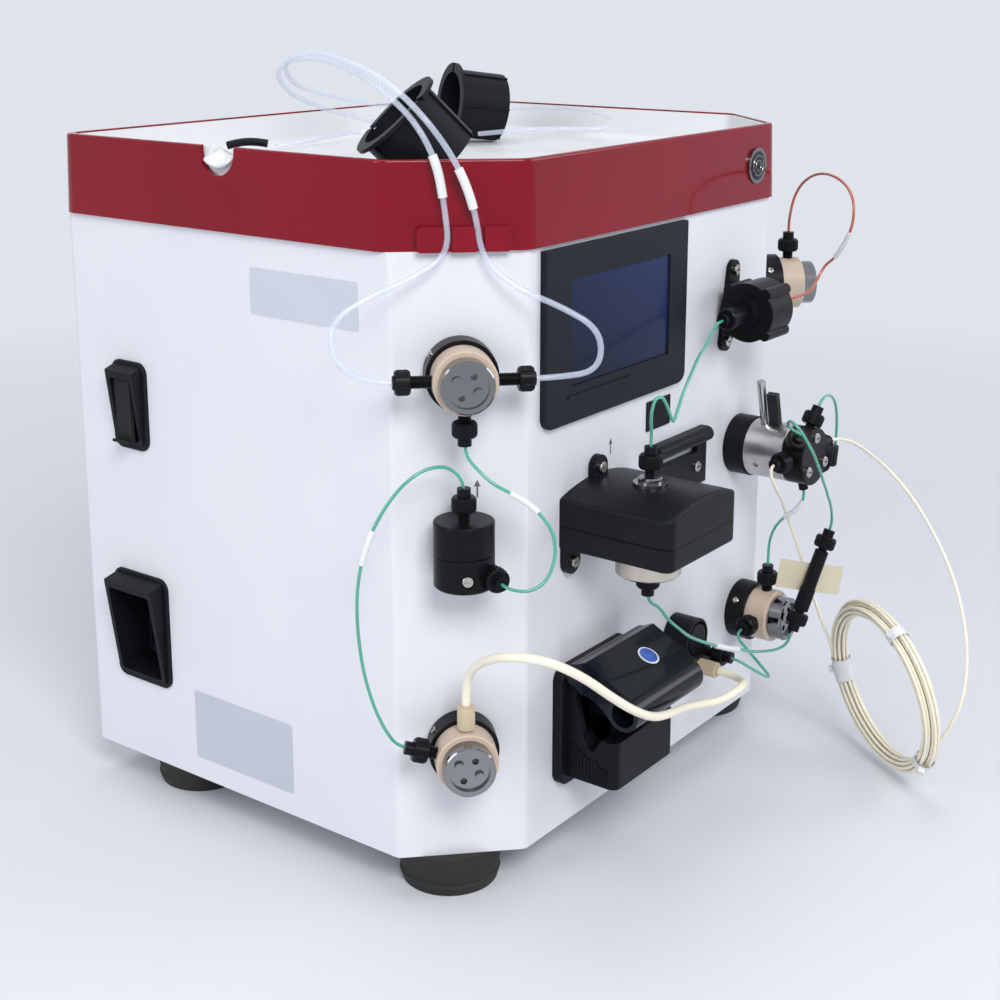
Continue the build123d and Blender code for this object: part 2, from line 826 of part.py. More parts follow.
# Column holder: a slotted plate with a round rest along its top
holder_middle_x = (holder_left + holder_right) / 2
with BuildPart() as column_holder:
    with BuildSketch(front_plane(holder_middle_x, (holder_bottom_z + holder_top_z) / 2)):
        Rectangle(holder_right - holder_left, holder_top_z - holder_bottom_z)
    extrude(amount=holder_thickness)
    with BuildSketch(Plane.YZ.offset(holder_left)):
        with Locations((panel_y - holder_bar_radius, holder_top_z - holder_bar_radius + 1)):
            Circle(holder_bar_radius)
        with Locations((panel_y - holder_bar_radius / 2, holder_top_z - holder_bar_radius + 1)):
            Rectangle(holder_bar_radius, 2 * holder_bar_radius)
    extrude(amount=holder_right - holder_left)
    with BuildSketch(front_plane((holder_slot_left + holder_slot_right) / 2, holder_slot_z - 3)):
        Rectangle(holder_slot_right - holder_slot_left, holder_slot_height)
    extrude(amount=3 * holder_thickness, mode=Mode.SUBTRACT)
column_holder.part.label = "column_holder"

with BuildPart() as column_cover:
    with BuildSketch(front_plane(cover_x, cover_z)):
        Rectangle(cover_width, cover_height)
    extrude(amount=1)
column_cover.part.label = "column_cover"

# Conductivity cell: a lobed drum on its side, held by a bracket with two lugs on the panel
cell_face = Plane(origin=(cell_x, panel_y + cell_y, cell_z), x_dir=(0, -1, 0), z_dir=(-1, 0, 0))
with BuildPart() as conductivity_cell:
    with BuildSketch(cell_face.offset(-cell_length)):
        Circle(cell_radius)
        with PolarLocations(cell_lobe_circle, 4, start_angle=45):
            Circle(cell_lobe_radius)
    extrude(amount=cell_length)
    chamfer(conductivity_cell.faces().sort_by(Axis.X)[0].edges(), 0.5)
    with BuildSketch(cell_face):
        Circle(nozzle_base_radius)
    extrude(amount=nozzle_base_length, taper=8)
    with BuildSketch(cell_face.offset(nozzle_base_length)):
        Circle(nozzle_neck_radius)
    extrude(amount=nozzle_neck_length)
conductivity_cell.part.label = "conductivity_cell"
cell_port = cell_face.offset(nozzle_base_length + nozzle_neck_length)
cell_outlet_port = Plane(
    origin=(cell_x + cell_length, panel_y + cell_y, cell_z), x_dir=(0, 1, 0), z_dir=(1, 0, 0)
)

with BuildPart() as conductivity_bracket:
    with BuildSketch(front_plane(*cell_upper_lug)):
        Circle(cell_lug_radius)
    extrude(amount=3)
    with BuildSketch(front_plane(*cell_lower_lug)):
        Circle(cell_lug_radius)
    extrude(amount=3)
    with BuildSketch(front_plane(0, 0)):
        with BuildLine():
            Polyline(
                (cell_upper_lug[0] - cell_lug_radius, cell_upper_lug[1]),
                (cell_lower_lug[0] - cell_lug_radius, cell_lower_lug[1]),
                (cell_lower_lug[0] + cell_lug_radius, cell_lower_lug[1] - 2),
                (cell_x + cell_length, cell_z - 12),
                (cell_x + cell_length, cell_z + 15),
                (cell_upper_lug[0] + cell_lug_radius, cell_upper_lug[1]),
                close=True,
            )
        make_face()
    extrude(amount=3)
    with BuildSketch(cell_face.offset(-cell_length)):
        Circle(cell_radius + 2)
    extrude(amount=-seat_gap, mode=Mode.SUBTRACT)
    with BuildSketch(cell_face.offset(1)):
        Circle(cell_radius)
        with PolarLocations(cell_lobe_circle, 4, start_angle=45):
            Circle(cell_lobe_radius)
    extrude(amount=-cell_length - 2, mode=Mode.SUBTRACT)
conductivity_bracket.part.label = "conductivity_bracket"

# Injection valve: fixed collar, turning barrel with its handle, fixed stator on a core
injection_plane = front_plane(injection_x, injection_z)
barrel_start = injection_collar_depth + seat_gap
barrel_end = barrel_start + injection_barrel_length
stator_start = barrel_end + seat_gap
injection_depth = stator_start + injection_stator_length
handle_plane = turned(injection_plane, 0, 0, injection_handle_place, injection_handle_angle)
stop_plane = turned(injection_plane, 0, 0, injection_stop_place, injection_handle_angle)
with BuildPart() as injection_collar:
    with BuildSketch(injection_plane):
        Circle(collar_radius)
    extrude(amount=injection_collar_depth)
    chamfer(injection_collar.edges().filter_by(GeomType.CIRCLE), 0.5)
    with BuildSketch(injection_plane):
        Circle(injection_core_radius)
    extrude(amount=injection_collar_depth, mode=Mode.SUBTRACT)
injection_collar.part.label = "injection_collar"

with BuildPart() as injection_barrel:
    with BuildSketch(injection_plane.offset(barrel_start)):
        Circle(injection_radius)
    extrude(amount=injection_barrel_length)
    chamfer(injection_barrel.edges().filter_by(GeomType.CIRCLE), 0.4)
    with BuildSketch(injection_plane.offset(barrel_start)):
        Circle(injection_barrel_bore)
    extrude(amount=injection_barrel_length, mode=Mode.SUBTRACT)
    with BuildSketch(handle_plane.offset(injection_radius - handle_seat_depth)):
        Circle(injection_handle_radius)
    extrude(amount=2 * handle_seat_depth, mode=Mode.SUBTRACT)
    with BuildSketch(stop_plane.offset(injection_radius - handle_seat_depth)):
        Rectangle(injection_stop_thickness, injection_stop_width)
    extrude(amount=2 * handle_seat_depth, mode=Mode.SUBTRACT)
    set_screw = turned(injection_plane, 0, 0, injection_handle_place + 1, injection_set_screw_angle)
    with BuildSketch(set_screw.offset(injection_radius - 2)):
        Circle(1.8)
    extrude(amount=2 * injection_radius, mode=Mode.SUBTRACT)
injection_barrel.part.label = "injection_barrel"

# Handle rod screwed into the barrel, slightly thicker at its tip, and the flat stop beside it
with BuildPart() as injection_handle:
    with BuildSketch(handle_plane.offset(injection_radius - handle_seat_depth)):
        Circle(injection_handle_radius - 0.5)
    with BuildSketch(handle_plane.offset(injection_handle_tip)):
        Circle(injection_handle_radius)
    loft()
    chamfer(injection_handle.edges().sort_by(Axis(handle_plane.origin, handle_plane.z_dir))[-1], 0.4)
    with BuildSketch(stop_plane.offset(injection_radius - handle_seat_depth)):
        Rectangle(injection_stop_thickness, injection_stop_width)
    extrude(amount=injection_stop_length)
injection_handle.part.label = "injection_handle"

# Stator with its core running through the barrel into the collar, and six spot-faced ports round its side
port_place = stator_start + injection_port_place
injection_ports = []
for port_angle, port_tilt in zip(injection_port_angles, injection_port_tilts):
    injection_ports.append(
        turned(
            injection_plane,
            injection_port_start * cos(radians(port_angle)),
            injection_port_start * sin(radians(port_angle)),
            port_place,
            port_angle,
            port_tilt,
        )
    )
with BuildPart() as injection_stator:
    with BuildSketch(injection_plane.offset(stator_start)):
        Circle(injection_radius)
    extrude(amount=injection_stator_length)
    chamfer(injection_stator.edges().filter_by(GeomType.CIRCLE), 0.6)
    with BuildSketch(injection_plane):
        Circle(injection_core_radius)
    extrude(amount=stator_start)
    for port in injection_ports:
        with BuildSketch(port):
            Circle(fitting_stub_radius + seat_gap)
        extrude(amount=3 * port_depth, mode=Mode.SUBTRACT)
        with BuildSketch(port.offset(fitting_stub_length)):
            Circle(fitting_head_radius + seat_gap)
        extrude(amount=fitting_head_length, mode=Mode.SUBTRACT)
injection_stator.part.label = "injection_stator"

# Flow restrictor between its two fittings
restrictor_start = Vector(*restrictor_foot)
restrictor_span = Vector(*restrictor_head) - restrictor_start
restrictor_plane = Plane(origin=restrictor_start, z_dir=restrictor_span)
restrictor_end_length = restrictor_stub + fitting_head_length + fitting_tail_length
restrictor_lower = restrictor_plane.offset(restrictor_end_length)
restrictor_upper = restrictor_lower.offset(restrictor_lower_length)
restrictor_upper_length = restrictor_span.length - 2 * restrictor_end_length - restrictor_lower_length
with BuildPart() as flow_restrictor:
    with BuildSketch(restrictor_lower):
        Circle(restrictor_lower_radius)
    extrude(amount=restrictor_lower_length)
    with BuildSketch(restrictor_upper):
        Circle(restrictor_upper_radius)
    extrude(amount=restrictor_upper_length)
    restrictor_rings = flow_restrictor.edges().filter_by(GeomType.CIRCLE)
    restrictor_rings = restrictor_rings.sort_by(Axis(restrictor_lower.origin, restrictor_lower.z_dir))
    chamfer([restrictor_rings[0], restrictor_rings[-1]], 0.5)
    with BuildSketch(restrictor_lower):
        with Locations((1.9 * restrictor_lower_radius, 0), (-1.9 * restrictor_lower_radius, 0)):
            Rectangle(2 * restrictor_lower_radius, 2 * restrictor_lower_radius)
    extrude(amount=restrictor_lower_length - 2, mode=Mode.SUBTRACT)
flow_restrictor.part.label = "flow_restrictor"
restrictor_foot_port = Plane(
    origin=restrictor_lower.origin, x_dir=restrictor_plane.x_dir, z_dir=restrictor_plane.z_dir * -1
)
restrictor_head_port = restrictor_upper.offset(restrictor_upper_length)

# Pressure sensor: a round body with a stepped face, and a block with two ports on its lower right
sensor_plane = front_plane(sensor_x, sensor_z)
with BuildPart() as pressure_sensor:
    with BuildSketch(sensor_plane):
        Circle(sensor_radius)
    with BuildSketch(front_plane(port_block_x, port_block_z)):
        RectangleRounded(port_block_width, port_block_height, port_block_corner)
    extrude(amount=sensor_depth)
    chamfer(pressure_sensor.faces().sort_by(Axis.Y)[0].outer_wire().edges(), 0.6)
    with BuildSketch(sensor_plane.offset(sensor_depth - sensor_recess_depth)):
        Circle(sensor_recess_radius + 1.5)
        Circle(sensor_recess_radius, mode=Mode.SUBTRACT)
    extrude(amount=sensor_recess_depth, mode=Mode.SUBTRACT)
pressure_sensor.part.label = "pressure_sensor"
sensor_pump_port = front_plane(pump_port_x, pump_port_z, sensor_depth)
sensor_wash_port = front_plane(wash_port_x, wash_port_z, sensor_depth)

# Peristaltic pump: flange and body with a round well for the rotor and a notch at each side
rotor_length = rotor_back - rotor_front
pump_middle_x = (pump_left + pump_right) / 2
pump_body_x = (pump_body_left + pump_body_right) / 2
pump_body_width = pump_body_right - pump_body_left
hinge_axis = Axis((0, panel_y + hinge_y, hinge_z), (1, 0, 0))
cheek_places = (pump_body_left + cheek_width / 2, pump_body_right - cheek_width / 2)
with BuildPart() as pump_housing:
    with BuildSketch(front_plane(pump_middle_x, (pump_flange_bottom_z + pump_flange_top_z) / 2)):
        RectangleRounded(pump_right - pump_left, pump_flange_top_z - pump_flange_bottom_z, 8)
    extrude(amount=pump_flange_thickness)
    chamfer(pump_housing.faces().sort_by(Axis.Y)[0].edges(), 1)
    with BuildSketch(Plane((pump_body_x, panel_y - pump_body_depth / 2, pump_body_bottom_z))):
        Rectangle(pump_body_width, pump_body_depth)
    extrude(amount=pump_body_top_z - pump_body_bottom_z)
    front_edges = pump_housing.edges().filter_by(Axis.Z).group_by(Axis.Y)[0]
    fillet(front_edges, 5)
    with BuildSketch(front_plane(rotor_x, rotor_z, -rotor_back - 2)):
        Circle(rotor_well_radius)
    extrude(amount=rotor_length + 4, mode=Mode.SUBTRACT)
    with BuildSketch(Plane.YZ.offset(pump_body_left - 1)):
        with Locations((panel_y + pump_notch_y, pump_body_top_z + 0.5)):
            Trapezoid(pump_notch_width, pump_notch_depth + 0.5, 58, rotation=180, align=(Align.CENTER, Align.MIN))
    extrude(amount=pump_body_width + 2, mode=Mode.SUBTRACT)
    for cheek_x in cheek_places:
        with BuildSketch(Plane.YZ.offset(cheek_x - cheek_width / 2)):
            with BuildLine():
                Polyline(
                    (panel_y - pump_flange_thickness, pump_body_top_z - 1),
                    (panel_y - 17, pump_body_top_z - 1),
                    (panel_y - 11, hinge_z - 16),
                    (panel_y + hinge_y - ear_radius, hinge_z),
                    (panel_y - pump_flange_thickness, hinge_z),
                    close=True,
                )
            make_face()
            with Locations((panel_y + hinge_y, hinge_z)):
                Circle(ear_radius)
                Circle(hinge_pin_radius + shaft_clearance, mode=Mode.SUBTRACT)
        extrude(amount=cheek_width)
    with BuildSketch(front_plane(rotor_x, rotor_z)):
        Circle(shaft_radius + shaft_clearance)
    extrude(amount=-rotor_back, mode=Mode.SUBTRACT)
pump_housing.part.label = "pump_housing"

# Rotor: two discs, a hub, shaft and pins in one piece, and the rollers that turn on the pins
rotor_plane = front_plane(rotor_x, rotor_z)
with BuildPart() as pump_rotor:
    with BuildSketch(rotor_plane.offset(-rotor_back)):
        Circle(roller_orbit + 3)
    extrude(amount=rotor_disc_thickness)
    with BuildSketch(rotor_plane.offset(-rotor_front - rotor_disc_thickness)):
        Circle(roller_orbit + 3)
    extrude(amount=rotor_disc_thickness)
    with BuildSketch(rotor_plane.offset(-rotor_back)):
        Circle(roller_orbit - roller_radius - 1)
    extrude(amount=rotor_length)
    with BuildSketch(rotor_plane.offset(-rotor_back)):
        with PolarLocations(roller_orbit, roller_count, start_angle=30):
            Circle(roller_pin_radius)
    extrude(amount=rotor_length)
    with BuildSketch(rotor_plane.offset(-motor_length / 2)):
        Circle(shaft_radius)
    extrude(amount=motor_length / 2 - rotor_back + 1)
    with BuildSketch(rotor_plane.offset(-rotor_back + rotor_disc_thickness + seat_gap)):
        with PolarLocations(roller_orbit, roller_count, start_angle=30):
            Circle(roller_radius)
            Circle(roller_pin_radius + roller_clearance, mode=Mode.SUBTRACT)
    extrude(amount=rotor_length - 2 * rotor_disc_thickness - 2 * seat_gap)
pump_rotor.part.label = "pump_rotor"

# Track that presses the tubing on the rollers, drawn closed round the rotor and turned up with the lid
with BuildPart() as closed_track:
    with BuildSketch(front_plane(rotor_x, rotor_z, -rotor_back + 2)):
        with Locations((0, rotor_well_radius)):
            Rectangle(track_width, 2 * track_rise)
        Circle(rotor_well_radius, mode=Mode.SUBTRACT)
    extrude(amount=rotor_length)

# Flip-up lid: a hollow wedge with a round front roll and an arched opening in each end,
# drawn as it stands open in the photograph, with the track inside it
with BuildPart() as pump_lid:
    with BuildSketch(Plane.YZ.offset(lid_left)):
        with BuildLine():
            Polyline(
                (panel_y + hinge_y, hinge_z + knuckle_radius),
                (panel_y - 20, hinge_z + 9.5),
                (panel_y - 49.5, 116),
                (panel_y - 44.5, 96.5),
                (panel_y - 37, 99.5),
            )
            ThreePointArc((panel_y - 37, 99.5), (panel_y - 29, 107.5), (panel_y - 17, 111))
            Line((panel_y - 17, 111), (panel_y + hinge_y, hinge_z - knuckle_radius))
            ThreePointArc(
                (panel_y + hinge_y, hinge_z - knuckle_radius),
                (panel_y + hinge_y + knuckle_radius, hinge_z),
                (panel_y + hinge_y, hinge_z + knuckle_radius),
            )
        make_face()
        with Locations((panel_y - 44.5, 106)):
            Circle(lid_roll_radius)
    extrude(amount=lid_right - lid_left)
    with BuildSketch(Plane.YZ.offset(lid_left + lid_wall)):
        with BuildLine():
            Polyline(
                (panel_y - 4, hinge_z + ear_radius + 0.5),
                (panel_y + hinge_y, hinge_z + ear_radius + 0.5),
                (panel_y - 19.5, hinge_z + 9.5 - lid_skin),
                (panel_y - 38, 117.5 - lid_skin),
                (panel_y - 33, 90),
                (panel_y - 4, 90),
                close=True,
            )
        make_face()
    extrude(amount=lid_right - lid_left - 2 * lid_wall, mode=Mode.SUBTRACT)
    with BuildSketch(Plane.YZ.offset(lid_left)):
        with Locations((panel_y - 44.5, 106)):
            Circle(lid_roll_bore)
    extrude(amount=lid_right - lid_left, mode=Mode.SUBTRACT)
    with BuildSketch(Plane.YZ.offset(lid_left)):
        with Locations((panel_y + hinge_y, hinge_z)):
            Circle(hinge_pin_radius)
    extrude(amount=lid_right - lid_left)
    add(closed_track.part.rotate(hinge_axis, -lid_open_angle))
pump_lid.part.label = "pump_lid"

# Gear motor behind the panel, bored for the rotor's shaft
with BuildPart() as pump_motor:
    with BuildSketch(front_plane(rotor_x, rotor_z, -sheet)):
        Circle(motor_radius)
    extrude(amount=-motor_length)
    with BuildSketch(front_plane(rotor_x, rotor_z, -sheet)):
        Circle(shaft_radius + shaft_clearance)
    extrude(amount=-motor_length / 2, mode=Mode.SUBTRACT)
pump_motor.part.label = "pump_motor"


def side_scoop(y, z, width, height, lip, depth):
    """Plug recess in the left wall: a flange, a scoop standing out at its top and a pocket behind."""
    face = left_wall_plane(y, z)
    inner_width = width - 2 * scoop_margin
    low = z - height / 2
    high = z + height / 2
    with BuildPart() as hood:
        with BuildSketch(Plane.XZ.offset(-y - inner_width / 2 - scoop_wall)):
            with BuildLine():
                Polyline(
                    (left_x - power_flange / 2, low + 4),
                    (left_x - power_flange - 1, low + 4),
                    (left_x - lip, high - 5),
                    (left_x - power_flange / 2, high - 2),
                    close=True,
                )
            make_face()
        extrude(amount=inner_width + 2 * scoop_wall)
        with BuildSketch(face):
            RectangleRounded(inner_width + 2 * scoop_wall, height, scoop_corner)
        extrude(amount=2 * lip, mode=Mode.INTERSECT)
    with BuildPart() as scoop:
        with BuildSketch(face):
            RectangleRounded(width, height, scoop_corner + 2)
        extrude(amount=power_flange)
        chamfer(scoop.faces().sort_by(Axis.X)[0].edges(), 0.8)
        add(hood.part)
        with BuildSketch(face):
            RectangleRounded(inner_width + 1, height - 9, 2)
        extrude(amount=-depth)
        with BuildSketch(face.offset(-depth + scoop_wall)):
            with Locations((0, -scoop_drop)):
                RectangleRounded(inner_width - 2, height - 2 * scoop_end_margin, 2)
        extrude(amount=depth + 2 * lip, mode=Mode.SUBTRACT)
    return scoop.part


power_hood = side_scoop(power_y, power_z, power_width, power_height, power_lip, power_depth)
power_hood.label = "power_hood"

# Data socket with its tongue, standing on the floor of the smaller recess
usb_floor = left_wall_plane(usb_y, usb_z - 4, scoop_wall - usb_depth)
with BuildPart() as usb_hood:
    add(side_scoop(usb_y, usb_z, usb_width, usb_height, usb_lip, usb_depth))
    with BuildSketch(usb_floor):
        Rectangle(usb_socket_width, usb_socket_height)
        Rectangle(usb_socket_width - 1, usb_socket_height - 1, mode=Mode.SUBTRACT)
        with Locations((-1.5, 0)):
            Rectangle(2, usb_socket_height - 4)
    extrude(amount=usb_socket_depth)
usb_hood.part.label = "usb_hood"

# Power inlet with its three pins, and the rocker switch above it in the same moulding
inlet_face = left_wall_plane(power_y, power_z, 8 - power_depth)
with BuildPart() as power_inlet:
    with BuildSketch(inlet_face):
        RectangleRounded(29, 49, 2)
    extrude(amount=-6)
    with BuildSketch(inlet_face):
        with Locations((0, -10)):
            RectangleRounded(24.5, 20, 3)
        with Locations((0, 14)):
            Rectangle(19.6, 15.6)
    extrude(amount=-5, mode=Mode.SUBTRACT)
    with BuildSketch(inlet_face.offset(-5)):
        with Locations((0, -7.5), (7, -12.5), (-7, -12.5)):
            Rectangle(2, 4)
    extrude(amount=4.5)
power_inlet.part.label = "power_inlet"

rocker_z = power_z + 14
rocker_axis_x = left_x + power_depth - 8 + 1.5
with BuildPart() as power_rocker:
    with BuildSketch(Plane.XZ.offset(-power_y - 9.5)):
        with BuildLine():
            Polyline(
                (rocker_axis_x - 3.4, rocker_z + 6.6),
                (rocker_axis_x - 1.6, rocker_z),
                (rocker_axis_x - 0.9, rocker_z - 6.9),
                (rocker_axis_x + 1.4, rocker_z - 6.6),
                (rocker_axis_x + 1.4, rocker_z + 6.6),
                close=True,
            )
        make_face()
    extrude(amount=19)
power_rocker.part.label = "power_rocker"

# Rubber dust flap hung under the scoop's roof, with a pull lip at its foot
flap_pin_radius = 1.2
flap_top_z = usb_z + usb_height / 2 - scoop_end_margin - scoop_drop - seat_gap - flap_pin_radius
flap_top_x = left_x - usb_lip + 3.4
flap_length = 36
flap_width = 13
with BuildPart() as usb_flap:
    with BuildSketch(Plane.XZ.offset(-usb_y - flap_width / 2)):
        with BuildLine():
            Polyline(
                (flap_top_x - flap_pin_radius, flap_top_z),
                (flap_top_x - 0.4, flap_top_z - flap_length),
                (flap_top_x - 4.4, flap_top_z - flap_length + 1.2),
                (flap_top_x - 4.6, flap_top_z - flap_length - 0.6),
                (flap_top_x + 1.6, flap_top_z - flap_length - 1),
                (flap_top_x + flap_pin_radius, flap_top_z),
                close=True,
            )
        make_face()
        with Locations((flap_top_x, flap_top_z)):
            Circle(flap_pin_radius)
    extrude(amount=flap_width)
usb_flap.part.label = "usb_flap"


def tube_holder(mouth, towards):
    """Flanged sleeve with a slotted floor that lies in the tray; mouth is the centre of its rim."""
    carrier = Plane(origin=mouth, z_dir=towards)
    with BuildPart() as holder:
        with BuildSketch(carrier):
            Circle(holder_flange_radius)
        extrude(amount=holder_flange_thickness)
        with BuildSketch(carrier):
            Circle(holder_sleeve_radius)
        extrude(amount=holder_sleeve_length)
        with BuildSketch(carrier):
            Circle(holder_sleeve_radius - holder_sleeve_wall)
        extrude(amount=holder_sleeve_length - holder_sleeve_wall, mode=Mode.SUBTRACT)
        with BuildSketch(carrier):
            Rectangle(3, 3 * holder_sleeve_radius)
        extrude(amount=holder_flange_thickness, mode=Mode.SUBTRACT)
        with BuildSketch(carrier):
            with PolarLocations(holder_sleeve_radius, 6):
                Rectangle(2.2, 1.2)
        extrude(amount=holder_sleeve_length)
    return holder.part


tray_floor = case_height - tray_depth
tube_holder_front = tube_holder((left_x + 29.5, panel_y + 70.7, tray_floor + 41.1), (0.539, -0.445, -0.713))
tube_holder_front.label = "tube_holder_front"
tube_holder_rear = tube_holder((right_x - 102.7, rear_y - 84.4, tray_floor + 27.3), (0.837, -0.531, -0.132))
tube_holder_rear.label = "tube_holder_rear"

# Inner parts that the sealed case holds
with BuildPart() as power_supply:
    with BuildSketch(Plane.XY.offset(foot_height + sheet)):
        with Locations((left_x + 85, rear_y - 72)):
            RectangleRounded(100, 110, 3)
    extrude(amount=40)
power_supply.part.label = "power_supply"

with BuildPart() as control_board:
    with BuildSketch(front_plane(display_x, display_top_z - display_height / 2, -sheet - 12)):
        Rectangle(display_width - 14, display_height - 8)
    extrude(amount=-1.6)
    with BuildSketch(front_plane(display_x, display_top_z - display_height / 2, -sheet)):
        with GridLocations(display_width - 26, display_height - 20, 2, 2):
            Circle(3)
    extrude(amount=-12)
control_board.part.label = "control_board"

with BuildPart() as valve_drives:
    for carrier in (buffer_plane, sample_plane, wash_plane, outlet_plane):
        with BuildSketch(carrier.offset(-sheet)):
            Circle(collar_radius - 1)
        extrude(amount=-46)
valve_drives.part.label = "valve_drives"

# Cross-slotted screws on the lugs, the holder, the mixer and the stator
mixer_screw = left_corner_plane(0, mixer_port_z, 2 * mixer_radius - 2.5)
screw_places = [
    front_plane(optics_upper_lug_x, optics_upper_lug_z, optics_lug_thickness),
    front_plane(optics_lower_lug_x, optics_lower_lug_z, optics_lug_thickness),
    front_plane(holder_screw_x, holder_screw_z, holder_thickness),
    front_plane(*cell_upper_lug, 3),
    front_plane(*cell_lower_lug, 3),
    mixer_screw,
]
for screw_angle in (95, -25, 215):
    screw_right = 12.5 * cos(radians(screw_angle))
    screw_up = 12.5 * sin(radians(screw_angle))
    screw_places.append(front_plane(injection_x + screw_right, injection_z + screw_up, injection_depth))
with BuildPart() as panel_screws:
    for place in screw_places:
        add(slotted_screw(place))
panel_screws.part.label = "panel_screws"

# Tube fittings, all of one pattern; the two on the reservoir tubes have long stubs and short tails
large = {"stub": large_stub_length + port_depth, "tail": large_tail_length, "bore": large_bore_radius}
seated = {"stub": fitting_stub_length + port_depth}
flush = {"stub": 0.5}
fitting_places = [
    (buffer_ports[0], large),
    (buffer_ports[1], large),
    (buffer_ports[2], seated),
    (sample_ports[1], seated),
    (wash_ports[0], seated),
    (wash_ports[1], seated),
    (outlet_ports[0], seated),
    (mixer_top, {}),
    (mixer_port, flush),
    (optics_top_port, {}),
    (optics_bottom_port, flush),
    (cell_port, flush),
    (cell_outlet_port, flush),
    (restrictor_foot_port, {"stub": restrictor_stub}),
    (restrictor_head_port, {"stub": restrictor_stub}),
    (sensor_wash_port, {}),
]
with BuildPart() as finger_fittings:
    for port, sizes in fitting_places:
        add(finger_fitting(port, **sizes))
    for index, port in enumerate(injection_ports):
        if index == hidden_port:
            add(headless_nut(port))
        else:
            add(finger_fitting(port))
finger_fittings.part.label = "finger_fittings"

# Two pale knurled fittings at the ends of the pump tubing
with BuildPart() as pump_tube_fittings:
    for port, lift in ((sample_ports[0], port_depth + 1), (sensor_pump_port, 1.5)):
        with BuildSketch(port):
            Circle(fitting_stub_radius)
        extrude(amount=lift)
        with BuildSketch(port.offset(lift)):
            Circle(knurl_radius)
        extrude(amount=knurl_length)
        with BuildSketch(port.offset(lift + knurl_length)):
            Circle(fitting_stub_radius)
        extrude(amount=knurl_tail)
pump_tube_fittings.part.label = "pump_tube_fittings"

# Tubes and leads, each a list of the points where its straight runs would meet
buffer_tube_left_route = (
    (-193, -116, 297.7), (-202.9, -106.1, 297.7), (-220, -96.5, 310), (-220, -96, 331),
    (-201, -105.5, 341.5), (-181, -115.5, 348.5), (-162, -124.5, 359), (-163.5, -123, 382.5),
    (-166, -120, 406), (-170.5, -109, 426.5), (-171, -89.5, 439.5), (-166, -68, 447.5),
    (-162, -45, 452.5), (-159.5, -21.5, 453.5), (-155.5, 0, 445.5), (-137.5, 8, 432.5),
    (-115.5, 10.5, 425), (-93, 15, 419), (-70.5, 22, 415.5), (-48, 28, 410), (-26, 36.5, 407.5),
    (-4, 44, 403), (17.5, 53.5, 399), (36.5, 67, 395.5), (51, 85.5, 393.5), (56, 108.5, 392.5),
    (40, 123.5, 391.5), (16.5, 124.5, 390), (-7, 123, 388.5), (-29.8, 124.4, 387.5),
)
buffer_tube_right_route = (
    (-146, -163, 297.7), (-136.1, -172.9, 297.7), (-124.5, -191, 301.5), (-125, -192, 322.5),
    (-134, -173.5, 334), (-143.5, -153, 342), (-151, -136.5, 356.5), (-152.5, -134, 379.5),
    (-159, -129.5, 401.5), (-169, -122, 421), (-173.5, -106, 437.5), (-170, -84.5, 447),
    (-169, -62, 454), (-168, -38.5, 457.5), (-166.5, -16.5, 451), (-149.5, -7, 438.5),
    (-127, -2, 433), (-104.5, 4, 429), (-82.5, 12, 425), (-60, 20.5, 422), (-37.5, 27.5, 419.5),
    (-15.5, 36, 417), (6, 46, 415.5), (28, 55.5, 412.5), (49, 65.5, 411), (72, 74.5, 408.5),
    (89, 90, 407), (107, 103, 404.5), (134, 105, 402), (154, 88, 402), (162, 62, 403.5),
    (158, 26.5, 405.5), (150, 4, 405.5), (138.5, -16.5, 404.5), (123, -34.5, 402.5),
    (104, -48, 401), (81, -53, 400), (59.5, -43.5, 401.5), (49, -23, 401), (49.5, 0.5, 398),
    (54.8, 22.7, 395.1),
)
tube_buffer_mixer_route = (
    (-169.5, -139.5, 266.9), (-169.5, -139.5, 258.9), (-166.5, -146, 251), (-164, -153.5, 244.5),
    (-160.5, -163, 240.5), (-156.5, -171, 235.5), (-153, -178, 228), (-150, -182, 218.5),
    (-152.5, -184, 207.5), (-158.5, -183.3, 198), (-165.5, -179.2, 193.6), (-170.4, -173, 193.6),
    (-171.1, -165.8, 194.5), (-168, -160.7, 194.5),
)
tube_mixer_sample_route = (
    (-166.3, -136.3, 237), (-166.3, -136.3, 244), (-173, -131.5, 252.5), (-183, -125, 252.5),
    (-192.5, -120, 247), (-199.5, -115.5, 238.5), (-205, -111.5, 228.5), (-209.5, -108.5, 217.5),
    (-212, -106, 206), (-214, -105, 194), (-214.5, -104.5, 182), (-214, -104.5, 170),
    (-213, -105, 157.5), (-211, -105.5, 145.5), (-208.5, -106.5, 134.5), (-205.5, -108.5, 122.5),
    (-201.5, -111.5, 111), (-195.3, -113.7, 101.1), (-190.5, -118.5, 99.3),
)
tube_optics_restrictor_route = (
    (-64, -185, 164.5), (-64, -185, 157.5), (-55, -187.5, 152), (-48, -189.5, 142),
    (-38.5, -191, 134), (-28.5, -191.5, 126.5), (-18, -192.5, 120.5), (-7, -193.5, 115),
    (4.5, -194, 109.5), (15.5, -195, 104.5), (27, -195, 100.5), (39, -196, 95), (50.5, -196, 91),
    (62, -196.5, 87.5), (74, -196.5, 84.5), (86.5, -196, 83), (98.2, -193.4, 84.5),
    (100.7, -194.5, 91),
)
tube_wash_sensor_route = (
    (77, -170.5, 91.3), (71, -170.5, 91.1), (66, -173, 88.6), (65, -179, 84.5), (64.5, -185, 80),
    (63, -191.5, 76), (61, -197.8, 72.5), (55.5, -201, 73.5), (50, -198.5, 77),
    (44.5, -194.5, 81.5), (39.3, -188.5, 87), (38.2, -181, 87.9),
)
